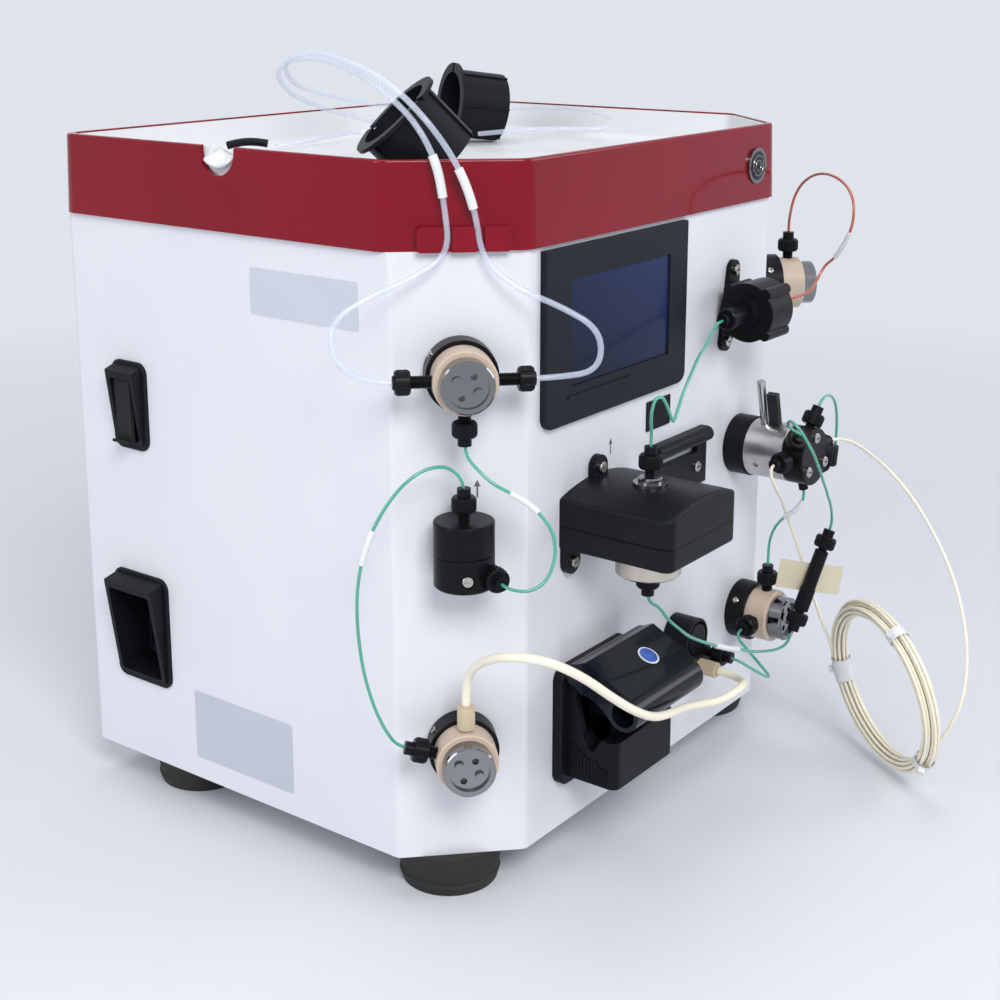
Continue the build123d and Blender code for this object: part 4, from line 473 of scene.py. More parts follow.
WHITE_PAINT = Finish("white_paint", (0.74, 0.75, 0.79), (0.71, 0.725, 0.77), 0.42, grain=1400, coat=0.1)
CRIMSON = Finish(
    "crimson_moulding",
    (0.225, 0.0007, 0.012),
    (0.19, 0.0005, 0.009),
    0.14,
    coat=0.3,
    grain=260,
    relief=0.00012,
    specular=0.14,
)
TRAY_WHITE = Finish(
    "white_tray", (0.74, 0.75, 0.76), (0.70, 0.71, 0.73), 0.45, grain=1200, slot="tray_white"
)
RUBBER_FOOT = Finish(
    "foot_rubber", (0.028, 0.026, 0.026), (0.045, 0.042, 0.040), 0.62, grain=1800, specular=0.12
)
BEZEL = Finish(
    "bezel_plastic", (0.010, 0.013, 0.018), (0.013, 0.016, 0.022), 0.48, grain=2600, specular=0.12
)
BEIGE = Finish("beige_polymer", (0.58, 0.46, 0.37), (0.55, 0.43, 0.34), 0.38, grain=1500)
BLACK_MACHINED = Finish(
    "black_machined_plastic",
    (0.005, 0.005, 0.006),
    (0.008, 0.008, 0.010),
    0.34,
    grain=1700,
    specular=0.12,
    slot="fitting_black",
)
BLACK_MOULDED = Finish(
    "black_moulded_plastic",
    (0.007, 0.008, 0.010),
    (0.010, 0.011, 0.014),
    0.42,
    grain=3200,
    specular=0.12,
    slot="holder_black",
)
BLACK_GLOSS = Finish(
    "black_gloss_plastic",
    (0.003, 0.004, 0.008),
    (0.004, 0.006, 0.012),
    0.24,
    coat=0.22,
    specular=0.14,
    slot="lid_gloss",
)
BLACK_SATIN = Finish(
    "black_satin_plastic",
    (0.004, 0.0045, 0.006),
    (0.006, 0.007, 0.009),
    0.40,
    grain=1200,
    specular=0.12,
    slot="pump_black",
)
OPTICS_BLACK = Finish(
    "optics_cover_plastic",
    (0.006, 0.007, 0.009),
    (0.009, 0.010, 0.013),
    0.40,
    grain=3200,
    seam=0.204,
    specular=0.12,
)
MIXER_BLACK = Finish(
    "mixer_plastic",
    (0.005, 0.005, 0.006),
    (0.008, 0.008, 0.010),
    0.32,
    grain=1700,
    seam=0.2055,
    specular=0.12,
)
CHROME = Finish(
    "polished_metal",
    (0.27, 0.27, 0.28),
    (0.21, 0.21, 0.22),
    0.12,
    metallic=1,
    grain=600,
    slot="badge_metal",
)
SCREW = Finish(
    "screw_steel", (0.48, 0.46, 0.44), (0.36, 0.35, 0.34), 0.24, metallic=1, slot="screw_steel"
)
BARREL = Finish(
    "turned_steel", (0.60, 0.59, 0.58), (0.54, 0.53, 0.52), 0.30, 0.14, 1, grain=900, brushed=(0.15, 5, 0.15)
)
FLOW_CELL = Finish("flow_cell_metal", (0.60, 0.56, 0.49), (0.54, 0.50, 0.44), 0.30, metallic=1)
BLACK_RUBBER = Finish(
    "black_rubber", (0.014, 0.014, 0.015), (0.020, 0.020, 0.021), 0.60, grain=2200, specular=0.12
)
CREAM = Finish("cream_tube", (0.91, 0.85, 0.70), (0.87, 0.80, 0.64), 0.40, coat=0.2, slot="tube_cream")
CREAM_FITTING = Finish(
    "cream_fitting", (0.60, 0.50, 0.35), (0.54, 0.44, 0.30), 0.42, slot="fitting_cream"
)
GREEN = Finish("green_tube", (0.055, 0.34, 0.23), (0.09, 0.42, 0.30), 0.26, coat=0.6, slot="tube_green")
RED = Finish("red_tube", (0.36, 0.04, 0.03), (0.50, 0.15, 0.09), 0.26, coat=0.6, slot="tube_red")
CLEAR = Finish(
    "clear_tube",
    (0.66, 0.72, 0.88),
    (0.76, 0.81, 0.93),
    0.10,
    grain=200,
    relief=0.00001,
    coat=1.0,
    alpha=0.36,
    slot="tube_clear",
)
LABEL = Finish("label_paper", (0.78, 0.78, 0.78), (0.72, 0.73, 0.74), 0.50, slot="case_white")
STICKER = Finish(
    "sticker_film", (0.58, 0.60, 0.67), (0.54, 0.56, 0.63), 0.34, coat=0.3, slot="case_white"
)
PLATE = Finish("plain_plate", (0.54, 0.56, 0.63), (0.50, 0.52, 0.59), 0.36, coat=0.3, slot="case_white")
CARD = Finish("card", (0.72, 0.66, 0.50), (0.66, 0.60, 0.44), 0.70, slot="fitting_cream")
PRINT = Finish("panel_print", (0.09, 0.10, 0.13), (0.11, 0.12, 0.15), 0.50, slot="bezel_black")
SIGN_BLUE = Finish(
    "sign_blue", (0.02, 0.09, 0.42), (0.02, 0.10, 0.46), 0.30, coat=0.8, slot="screen_glass"
)
ALUMINIUM = Finish("dull_aluminium", (0.55, 0.55, 0.56), (0.48, 0.48, 0.50), 0.40, metallic=1)
BOARD = Finish("circuit_board", (0.01, 0.12, 0.05), (0.02, 0.16, 0.07), 0.45)

NODE_FINISHES: dict[Finish, tuple[str, ...]] = {
    WHITE_PAINT: ("housing_shell", "base_plate", "rear_panel"),
    CRIMSON: ("top_rim",),
    TRAY_WHITE: ("buffer_tray",),
    RUBBER_FOOT: ("feet",),
    BEZEL: ("display_bezel",),
    BEIGE: ("valve_bodies",),
    CHROME: ("valve_caps", "optics_gland", "badge_disc"),
    OPTICS_BLACK: ("optics_upper_cover", "optics_lower_cover"),
    MIXER_BLACK: ("mixer_base", "mixer_chamber"),
    SCREW: ("panel_screws",),
    BARREL: ("injection_barrel",),
    FLOW_CELL: ("optics_flow_cell",),
    BLACK_MACHINED: (
        "valve_collars",
        "injection_collar",
        "injection_stator",
        "flow_restrictor",
        "finger_fittings",
        "conductivity_cell",
        "conductivity_bracket",
        "pressure_sensor",
    ),
    BLACK_MOULDED: (
        "column_holder",
        "column_cover",
        "tube_holder_front",
        "tube_holder_rear",
        "power_hood",
        "usb_hood",
        "power_inlet",
        "power_rocker",
        "pump_rotor",
    ),
    BLACK_GLOSS: ("pump_lid",),
    BLACK_SATIN: ("pump_housing",),
    BLACK_RUBBER: ("usb_flap",),
    CREAM_FITTING: ("pump_tube_fittings",),
    ALUMINIUM: ("power_supply", "pump_motor", "valve_drives"),
    BOARD: ("control_board",),
}


class Wardrobe:
    """Builds each finish once and gives it to nodes and pieces."""

    def __init__(self) -> None:
        """Start with no finish built."""
        self._materials: dict[str, bpy.types.Material] = {}

    def material(self, finish: Finish) -> bpy.types.Material:
        """Return the material of a finish."""
        if finish.name not in self._materials:
            self._materials[finish.name] = finish.build()
        return self._materials[finish.name]

    def dress(self, piece: bpy.types.Object, finish: Finish) -> None:
        """Give a new piece one finish all over."""
        paint(piece, self.material(finish))

    def dress_nodes(self, nodes: dict[str, bpy.types.Object]) -> None:
        """Give each node of the frame its finish."""
        for finish, names in NODE_FINISHES.items():
            for name in names:
                paint(nodes[name], self.material(finish))
                LOG.info("finish %s on node %s", finish.name, name)


def paint(piece: bpy.types.Object, material: bpy.types.Material) -> None:
    """Put one material in a piece's only slot."""
    if piece.material_slots:
        for slot in piece.material_slots:
            slot.material = material
    else:
        piece.data.materials.append(material)


def new_object(name: str, mesh: bmesh.types.BMesh, seat: Matrix, smooth: bool = True) -> bpy.types.Object:
    """Turn a bmesh in seat coordinates into an object at the origin.

    Args:
        name: Name of the piece.
        mesh: The bmesh, in metres in the seat's coordinates; it is freed.
        seat: Matrix from the seat to the frame.
        smooth: Whether faces are smooth up to 40 degrees.

    Returns:
        The new object.
    """
    mesh.transform(seat)
    bmesh.ops.recalc_face_normals(mesh, faces=mesh.faces)
    data = bpy.data.meshes.new(name)
    mesh.to_mesh(data)
    mesh.free()
    piece = bpy.data.objects.new(name, data)
    bpy.context.scene.collection.objects.link(piece)
    if smooth:
        data.shade_smooth()
        data.set_sharp_from_angle(angle=math.radians(40))
    return piece


def outline_prism(
    name: str, seat: Seat, outline: Iterable[tuple[float, float]], depth: float
) -> bpy.types.Object:
    """Return a prism that stands out of a seat.

    Args:
        name: Name of the piece.
        seat: Where its base lies.
        outline: Corners of its base, in millimetres.
        depth: How far it stands out, in millimetres.

    Returns:
        The new object.
    """
    mesh = bmesh.new()
    ring = [mesh.verts.new((x * MILLIMETRE, y * MILLIMETRE, 0)) for x, y in outline]
    face = mesh.faces.new(ring)
    raised = bmesh.ops.extrude_face_region(mesh, geom=[face])
    tops = [item for item in raised["geom"] if isinstance(item, bmesh.types.BMVert)]
    bmesh.ops.translate(mesh, verts=tops, vec=(0, 0, depth * MILLIMETRE))
    return new_object(name, mesh, seat.matrix())


def rounded_outline(width: float, height: float, corner: float, steps: int = 5) -> list[tuple[float, float]]:
    """Return a rectangle with round corners; all sizes are in millimetres.

    Args:
        width: Its width.
        height: Its height.
        corner: Radius of its corners.
        steps: Number of edges in each corner.

    Returns:
        Its corner points, in millimetres.
    """
    points = []
    for index, (side_x, side_y) in enumerate(((1, 1), (-1, 1), (-1, -1), (1, -1))):
        for step in range(steps + 1):
            angle = math.radians(90 * index + 90 * step / steps)
            x = side_x * (width / 2 - corner) + corner * math.cos(angle)
            y = side_y * (height / 2 - corner) + corner * math.sin(angle)
            points.append((x, y))
    return points


def lathed(
    name: str,
    seat: Seat,
    profile: Sequence[tuple[float, float]],
    ribs: int = 0,
    rib_depth: float = 0,
    sides: int = 48,
) -> bpy.types.Object:
    """Return a turned piece round a seat's outward direction.

    Args:
        name: Name of the piece.
        seat: Where its axis starts.
        profile: Radius and height of each ring, in millimetres.
        ribs: Number of grip ribs along it.
        rib_depth: How far the grooves between the ribs sink, in millimetres.
        sides: Number of sides where there are no ribs.

    Returns:
        The new object.
    """
    mesh = bmesh.new()
    count = ribs * 4 if ribs else sides
    rings = []
    for radius, height in profile:
        ring = []
        for index in range(count):
            sunk = rib_depth if ribs and index % 4 in (2, 3) else 0
            reach = max(radius - sunk, 0.01) * MILLIMETRE
            angle = 2 * math.pi * index / count
            spot = (reach * math.cos(angle), reach * math.sin(angle), height * MILLIMETRE)
            ring.append(mesh.verts.new(spot))
        rings.append(ring)
    for low, high in zip(rings, rings[1:]):
        for index in range(count):
            after = (index + 1) % count
            mesh.faces.new((low[index], low[after], high[after], high[index]))
    mesh.faces.new(rings[0])
    mesh.faces.new(rings[-1])
    return new_object(name, mesh, seat.matrix())


def swept(
    name: str, path: Sequence[Vector], radius: float, sides: int = 20, hollow: bool = False
) -> bpy.types.Object:
    """Return a round sleeve along a path.

    Args:
        name: Name of the piece.
        path: Points along its middle, in the frame.
        radius: Its radius, in millimetres.
        sides: Number of its sides.
        hollow: Whether its ends stay open.

    Returns:
        The new object.
    """
    mesh = bmesh.new()
    rings = []
    side = Vector((0, 0, 1))
    for index, spot in enumerate(path):
        ahead = path[min(index + 1, len(path) - 1)]
        behind = path[max(index - 1, 0)]
        heading = (ahead - behind).normalized()
        side = (side - heading * side.dot(heading)).normalized()
        across = heading.cross(side)
        ring = []
        for step in range(sides):
            angle = 2 * math.pi * step / sides
            reach = side * math.cos(angle) + across * math.sin(angle)
            ring.append(mesh.verts.new(spot + reach * radius * MILLIMETRE))
        rings.append(ring)
    for low, high in zip(rings, rings[1:]):
        for step in range(sides):
            after = (step + 1) % sides
            mesh.faces.new((low[step], low[after], high[after], high[step]))
    if not hollow:
        mesh.faces.new(rings[0])
        mesh.faces.new(rings[-1])
    return new_object(name, mesh, Matrix.Identity(4))


def nurbs_curve(name: str, points: Sequence[Vector], radius: float) -> bpy.types.Object:
    """Return a smooth tube.

    Args:
        name: Name of the piece.
        points: Control points, in the frame.
        radius: Its radius, in millimetres.

    Returns:
        The new curve object.
    """
    curve = bpy.data.curves.new(name, "CURVE")
    curve.dimensions = "3D"
    curve.resolution_u = 8
    spline = curve.splines.new("NURBS")
    spline.points.add(len(points) - 1)
    for control, spot in zip(spline.points, points):
        control.co = (*spot, 1)
    spline.order_u = 3
    spline.use_endpoint_u = True
    piece = bpy.data.objects.new(name, curve)
    bpy.context.scene.collection.objects.link(piece)
    curve.bevel_resolution = 4
    curve.use_fill_caps = True
    curve.bevel_depth = radius * MILLIMETRE
    return piece


def centre_line(piece: bpy.types.Object) -> list[Vector]:
    """Return the points along a tube's own spline.

    Args:
        piece: The tube's curve object.

    Returns:
        Points along its middle, in the frame.
    """
    curve = piece.data.copy()
    curve.bevel_depth = 0
    bare = bpy.data.objects.new("line", curve)
    bpy.context.scene.collection.objects.link(bare)
    depsgraph = bpy.context.evaluated_depsgraph_get()
    mesh = bpy.data.meshes.new_from_object(bare.evaluated_get(depsgraph))
    line = [vertex.co.copy() for vertex in mesh.vertices]
    bpy.data.objects.remove(bare)
    bpy.data.curves.remove(curve)
    bpy.data.meshes.remove(mesh)
    return line


def line_length(line: Sequence[Vector]) -> float:
    """Return the length of a line of points."""
    return sum((after - before).length for before, after in zip(line, line[1:]))


def part_of_line(line: Sequence[Vector], start: float, end: float) -> list[Vector]:
    """Return one stretch of a line.

    Args:
        line: The line's points.
        start: Share of its length where the stretch starts.
        end: Share where it ends.

    Returns:
        Evenly spaced points of the stretch.
    """
    total = line_length(line)
    marks = [0.0]
    for before, after in zip(line, line[1:]):
        marks.append(marks[-1] + (after - before).length)

    def at(share: float) -> Vector:
        """Return the point at a share of the length."""
        target = share * total
        for index, mark in enumerate(marks[1:]):
            if mark >= target:
                step = (target - marks[index]) / max(mark - marks[index], 1e-9)
                return line[index].lerp(line[index + 1], step)
        return line[-1]

    count = 16
    return [at(start + (end - start) * index / count) for index in range(count + 1)]


@dataclass(frozen=True)
class Tube:
    """One tube between two fittings.

    Attributes:
        node: Node that it stands for.
        route: Its control points.
        diameter: In millimetres.
        length: Real length along its middle, in millimetres; not used.
        finish: Its finish.
        sleeve: Shares of its length where a plain label sleeve starts and ends.
        far_end: What its far end is; not used.
    """

    node: str
    route: Route
    diameter: float
    length: float
    finish: Finish
    sleeve: tuple[float, float] | None = None
    far_end: str = "object"
    lay: Lay = Lay.HANGING

    def build(self, case: Case, wardrobe: Wardrobe, on_it: Sequence[bpy.types.Object] = ()) -> None:
        """Args:
            case: Where the instrument stands.
            wardrobe: Gives the finishes.
            on_it: Other pieces meant to hang on the tube; they are gathered with the sleeve and nothing more
                is done with them.
        """
        tube = nurbs_curve(self.node + "_line", case.route(self.route), self.diameter / 2)
        wardrobe.dress(tube, self.finish)
        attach(tube, Body.CASE.value)
        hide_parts(self.node)
        carried = list(on_it)
        if self.sleeve:
            path = part_of_line(centre_line(tube), *self.sleeve)
            sleeve = swept(self.node + "_sleeve", path, self.diameter / 2 + 0.75)
            wardrobe.dress(sleeve, LABEL)
            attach(sleeve, Body.CASE.value)
            carried.append(sleeve)
        tuple(case.route(self.route)[0])
        LOG.info("tube %s", self.node)


@dataclass(frozen=True)
class SampleLoop:
    """Loop of cream tubing: a lead down, a coil of turns held by ties, and a lead back up."""

    centre: Point = (108.5, -253.5, 62.5)
    axis: Point = (0.818, -0.543, 0.189)
    level: Point = (-0.553, -0.833, 0)
    radius: float = 52
    diameter: float = 2
    inner_reach: float = 2.3
    outer_reach: float = 4.6
    inner_lanes: int = 5
    outer_lanes: int = 10
    turns: int = 14
    first_angle: float = 20
    last_angle: float = 190
    points_per_turn: int = 16
    tie_angles: tuple[float, ...] = (42, -62, 170)
    tie_radius: float = 6.2
    upper_lead: float = 236
    lower_lead: float = 172
    change_start: float = 0.03
    change_share: float = 0.14

    def spot(self, case: Case, angle: float, turn: float) -> Vector:
        """Return a point of the coil.

        Args:
            case: Where the instrument stands.
            angle: Angle round the coil, in degrees.
            turn: Number of turns from its start, which gives its place in the bundle.

        Returns:
            The point in the frame.
        """
        axis = Vector(self.axis).normalized()
        level = Vector(self.level).normalized()
        upward = axis.cross(level)
        lane = math.floor(turn)
        ease = min(max((turn - lane - self.change_start) / self.change_share, 0), 1)
        offsets = [self.lane(lane), self.lane(lane + 1)]
        outward = offsets[0][0] * (1 - ease) + offsets[1][0] * ease
        aside = offsets[0][1] * (1 - ease) + offsets[1][1] * ease
        spoke = level * math.cos(math.radians(angle)) + upward * math.sin(math.radians(angle))
        step = spoke * (self.radius + outward) + axis * aside
        return case.place(*self.centre) + step * MILLIMETRE

    def lane(self, index: int) -> tuple[float, float]:
        """Return the place of one turn in the bundle's section.

        Turns fill the middle, then an inner ring and an outer ring, each beside the last.

        Args:
            index: Number of the turn, from 0.

        Returns:
            Distances outward and along the coil's axis, in millimetres.
        """
        if index == 0:
            return 0, 0
        reach, angle = self.inner_reach, 360 / self.inner_lanes * index
        if index > self.inner_lanes:
            reach = self.outer_reach
            angle = 360 / self.outer_lanes * (index - self.inner_lanes - 1)
        return reach * math.cos(math.radians(angle)), reach * math.sin(math.radians(angle))

    def build(self, case: Case, wardrobe: Wardrobe) -> None:
        """Make the loop, its ties and its plain label.

        Args:
            case: Where the instrument stands.
            wardrobe: Gives the finishes.
        """
        sweep = self.last_angle + 360 * self.turns - self.first_angle
        count = round(sweep / 360 * self.points_per_turn)
        coil = []
        for index in range(1, count):
            share = index / count
            coil.append(self.spot(case, self.first_angle + sweep * share, share * (self.turns + 0.45)))
        upper = case.route(LOOP_LEAD_UPPER_ROUTE)[:-1]
        lower = case.route(LOOP_LEAD_LOWER_ROUTE)[:-1]
        loop = nurbs_curve("sample_loop_line", upper + coil + lower[::-1], self.diameter / 2)
        wardrobe.dress(loop, CREAM)
        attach(loop, Body.CASE.value)
        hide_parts("loop_lead_upper", "loop_lead_lower", "sample_coil")
        ties = []
        for index, middle in enumerate(self.tie_angles):
            wide = 9 if index == len(self.tie_angles) - 1 else 3.5
            path = [self.ring_spot(case, middle + wide * step / 6) for step in range(-6, 7)]
            ties.append(swept(f"coil_tie_{index + 1}", path, self.tie_radius, hollow=True))
            ties.append(self.tie_head(case, index, middle))
        for tie in ties:
            wardrobe.dress(tie, LABEL)
            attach(tie, Body.CASE.value)
        LOG.info("sample loop, %d turns", self.turns)

    def tie_head(self, case: Case, index: int, angle: float) -> bpy.types.Object:
        """Return the small block that locks a tie, on the outside of the bundle.

        Args:
            case: Where the instrument stands.
            index: Number of the tie, from 0.
            angle: Its angle round the coil, in degrees.

        Returns:
            The block.
        """
        middle = self.ring_spot(case, angle)
        spoke = (middle - case.place(*self.centre)).normalized()
        axis = Vector(self.axis).normalized()
        out = (spoke - axis).normalized()
        right = out.cross(spoke.cross(axis)).normalized()
        seat = Seat(middle + out * (self.tie_radius - 0.3) * MILLIMETRE, right, out.cross(right), out)
        return outline_prism(f"coil_tie_head_{index + 1}", seat, rounded_outline(4.4, 4, 0.8), 3)

    def ring_spot(self, case: Case, angle: float) -> Vector:
        """Return a point on the middle of the bundle, which runs just inside its control points."""
        reach = self.radius * math.cos(math.pi / self.points_per_turn)
        axis = Vector(self.axis).normalized()
        level = Vector(self.level).normalized()
        spoke = level * math.cos(math.radians(angle)) + axis.cross(level) * math.sin(math.radians(angle))
        return case.place(*self.centre) + spoke * reach * MILLIMETRE


TUBES: tuple[Tube, ...] = (
    Tube("buffer_tube_left", BUFFER_TUBE_LEFT_ROUTE, 3.2, 657, CLEAR, (0.229, 0.262), "bare", Lay.LOOSE),
    Tube("buffer_tube_right", BUFFER_TUBE_RIGHT_ROUTE, 3.2, 914, CLEAR, (0.157, 0.180), "bare", Lay.LOOSE),
    Tube("tube_buffer_mixer", TUBE_BUFFER_MIXER_ROUTE, 1.8, 118, GREEN, (0.31, 0.45)),
    Tube("tube_mixer_sample", TUBE_MIXER_SAMPLE_ROUTE, 1.8, 206, GREEN, (0.349, 0.441)),
    Tube("tube_optics_restrictor", TUBE_OPTICS_RESTRICTOR_ROUTE, 1.8, 197, GREEN, (0.44, 0.58)),
    Tube("tube_wash_sensor", TUBE_WASH_SENSOR_ROUTE, 1.8, 80, GREEN),
    Tube("tube_wash_injection", TUBE_WASH_INJECTION_ROUTE, 1.8, 75, GREEN, (0.63, 0.86)),
    Tube("tube_injection_restrictor", TUBE_INJECTION_RESTRICTOR_ROUTE, 1.8, 161, GREEN),
    Tube("tube_injection_bridge", TUBE_INJECTION_BRIDGE_ROUTE, 1.8, 87, GREEN),
    Tube("tube_conductivity_optics", TUBE_CONDUCTIVITY_OPTICS_ROUTE, 1.8, 159, GREEN),
    Tube("pump_tube", PUMP_TUBE_ROUTE, 4.8, 330, CREAM),
    Tube("outlet_tube", OUTLET_TUBE_ROUTE, 1.8, 218, RED, (0.614, 0.721)),
)


def loose_parts(piece: bpy.types.Object) -> list[np.ndarray]:
    """Return the corner points of each separate solid of a node.

    Args:
        piece: The node's object.

    Returns:
        One array of points for each solid.
    """
    mesh = bmesh.new()
    mesh.from_mesh(piece.data)
    bmesh.ops.remove_doubles(mesh, verts=mesh.verts, dist=1e-6)
    todo = set(mesh.verts)
    parts = []
    while todo:
        stack = [todo.pop()]
        found = []
        while stack:
            vertex = stack.pop()
            found.append(tuple(vertex.co))
            for edge in vertex.link_edges:
                other = edge.other_vert(vertex)
                if other in todo:
                    todo.remove(other)
                    stack.append(other)
        parts.append(np.array(found))
    mesh.free()
    return parts


@dataclass(frozen=True)
class GripHeads:
    """Ribbed grips on the heads of turned fittings, found from the fittings' own shape."""

    node: str
    name: str
    finish: Finish
    least_radius: float = 4
    ribs: int = 20
    proud: float = 0.3
    groove: float = 0.55
    thread: bool = True

    def build(self, nodes: dict[str, bpy.types.Object], wardrobe: Wardrobe) -> None:
        """Make a ribbed grip round each head of the node.

        Args:
            nodes: The frame's nodes by name.
            wardrobe: Gives the finishes.
        """
        for index, points in enumerate(loose_parts(nodes[self.node])):
            offsets = points - points.mean(axis=0)
            _, _, directions = np.linalg.svd(offsets, full_matrices=False)
            heading = directions[0]
            along = offsets @ heading
            radial = np.linalg.norm(offsets - np.outer(along, heading), axis=1)
            radius = float(radial.max()) / MILLIMETRE
            if radius < self.least_radius:
                continue
            head = along[radial > radial.max() - 0.0002]
            start, end = float(head.min()), float(head.max())
            out = Vector(heading.tolist())
            right = out.orthogonal().normalized()
            origin = Vector((points.mean(axis=0) + heading * start).tolist())
            seat = Seat(origin, right, out.cross(right), out)
            length = (end - start) / MILLIMETRE
            outer = radius + self.proud
            inner = outer - 0.8
            profile = ((inner, -0.1), (outer, 0.7), (outer, length - 0.7), (inner, length + 0.1))
            grip = lathed(f"{self.name}_{index + 1}", seat, profile, self.ribs, self.groove)
            wardrobe.dress(grip, self.finish)
            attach(grip, Body.CASE.value)
            stub = along[(radial > 0.0027) & (radial < 0.0031)]
            reach = (float(stub.max()) - float(stub.min())) / MILLIMETRE if len(stub) else 0
            if self.thread and reach > 6:
                foot = Vector((points.mean(axis=0) + heading * float(stub.min())).tolist())
                place = Seat(foot, right, seat.up, out)
                thread = lathed(f"{self.name}_thread_{index + 1}", place, self.screw(reach), sides=24)
                wardrobe.dress(thread, self.finish)
                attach(thread, Body.CASE.value)
        LOG.info("grips on %s", self.node)

    def screw(self, reach: float) -> list[tuple[float, float]]:
        """Return a profile of thread ridges along a stub.

        Args:
            reach: Length of the stub, in millimetres.

        Returns:
            Radius and height of each ring, in millimetres.
        """
        profile = [(2.5, 0.1)]
        turns = int(reach - 0.4)
        for turn in range(turns):
            profile.append((2.95, 0.2 + turn))
            profile.append((3.4, 0.6 + turn))
            profile.append((3.4, 0.8 + turn))
        profile.append((2.95, 0.2 + turns))
        profile.append((2.5, 0.3 + turns))
        return profile


@dataclass(frozen=True)
class CollarScrews:
    """Small set screws in the sides of the valve collars."""

    node: str = "valve_collars"
    collar_radius: float = 19
    radius: float = 1.9
    angle: float = 145

    def build(self, nodes: dict[str, bpy.types.Object], wardrobe: Wardrobe) -> None:
        """Make one dimpled screw in each collar.

        Args:
            nodes: The frame's nodes by name.
            wardrobe: Gives the finishes.
        """
        up = Vector((0, 0, 1))
        for index, points in enumerate(loose_parts(nodes[self.node])):
            middle = (points.min(axis=0) + points.max(axis=0)) / 2
            _, _, directions = np.linalg.svd(points - middle, full_matrices=False)
            face = Vector(directions[2].tolist())
            face = -face if face.y > 0 else face
            right = up.cross(face)
            turn = math.radians(self.angle)
            spoke = right * math.cos(turn) + up * math.sin(turn)
            foot = Vector(middle.tolist()) + spoke * (self.collar_radius - 0.4) * MILLIMETRE
            seat = Seat(foot, face.cross(spoke), face, spoke)
            wide, narrow = self.radius, self.radius - 0.9
            profile = ((wide, 0), (wide, 1.2), (wide - 0.4, 1.5), (narrow, 1.5), (narrow - 0.1, 0.7))
            screw = lathed(f"collar_screw_{index + 1}", seat, profile, sides=24)
            wardrobe.dress(screw, SCREW)
            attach(screw, Body.CASE.value)
        LOG.info("collar screws")


@dataclass(frozen=True)
class PanelDress:
    """Plain labels, small print and trim on the case and rim."""

    sticker_y: float = -40
    sticker_z: float = 329.5
    sticker_width: float = 78
    sticker_height: float = 26
    plate_y: float = 18
    plate_z: float = 59
    plate_width: float = 80
    plate_height: float = 43

    def build(self, case: Case, wardrobe: Wardrobe) -> None:
        """Make the labels, arrows and rim trim.

        Args:
            case: Where the instrument stands.
            wardrobe: Gives the finishes.
        """
        size = (self.sticker_width, self.sticker_height)
        sticker = self.label(case, "contact_sticker", (self.sticker_y, self.sticker_z), size)
        wardrobe.dress(sticker, STICKER)
        size = (self.plate_width, self.plate_height)
        plate = self.label(case, "rating_plate", (self.plate_y, self.plate_z), size)
        wardrobe.dress(plate, PLATE)
        for index, seat in enumerate((case.corner(-1, 9, 229.5), case.front(-50, 233))):
            arrow = outline_prism(f"flow_arrow_{index + 1}", seat, self.arrow_outline(), 0.08)
            wardrobe.dress(arrow, PRINT)
            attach(arrow, Body.CASE.value)
        self.spout(case, wardrobe)
        LOG.info("labels and trim")

    def label(
        self, case: Case, name: str, middle: tuple[float, float], size: tuple[float, float]
    ) -> bpy.types.Object:
        """Return a thin bare label on the left wall.

        Args:
            case: Where the instrument stands.
            name: Name of the piece.
            middle: Its Y and Z in the case's frame, in millimetres.
            size: Its width and height, in millimetres.

        Returns:
            The label.
        """
        piece = outline_prism(name, case.left_wall(*middle), rounded_outline(*size, 1.5), 0.18)
        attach(piece, Body.CASE.value)
        return piece

    def arrow_outline(self) -> list[tuple[float, float]]:
        """Return a slim upward arrow."""
        return [(-0.45, 0), (0.45, 0), (0.45, 6), (1.8, 6), (0, 9.6), (-1.8, 6), (-0.45, 6)]

    def spout(self, case: Case, wardrobe: Wardrobe) -> None:
        """Make the tray's spout lip over the notch and the dark clip beside it.

        Args:
            case: Where the instrument stands.
            wardrobe: Gives the finishes.
        """
        mesh = bmesh.new()
        rows = []
        for step in range(9):
            share = step / 8
            reach = -9 + 16 * share
            height = -1.5 * share - 3.5 * share * share
            row = []
            for side in range(9):
                across = (side / 4 - 1) * (12 - 3 * share)
                dip = 3.5 * (abs(side / 4 - 1)) ** 2
                spot = Vector((across, height + dip - 3.5, reach)) * MILLIMETRE
                row.append(mesh.verts.new(spot))
            rows.append(row)
        for low, high in zip(rows, rows[1:]):
            for index in range(8):
                mesh.faces.new((low[index], low[index + 1], high[index + 1], high[index]))
        seat = case.left_wall(20, 404, -5)
        lip = new_object("spout_lip", mesh, seat.matrix())
        thick = lip.modifiers.new("wall", "SOLIDIFY")
        thick.thickness = 1.6 * MILLIMETRE
        wardrobe.dress(lip, TRAY_WHITE)
        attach(lip, Body.CASE.value)
        start, end = case.place(-168, 25, 405), case.place(-154, 8, 406)
        path = []
        for step in range(9):
            arch = Vector((0, 0, 1.5 * MILLIMETRE * math.sin(math.pi * step / 8)))
            path.append(start.lerp(end, step / 8) + arch)
        clip = swept("spout_clip", path, 2.2)
        wardrobe.dress(clip, BLACK_MOULDED)
        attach(clip, Body.CASE.value)


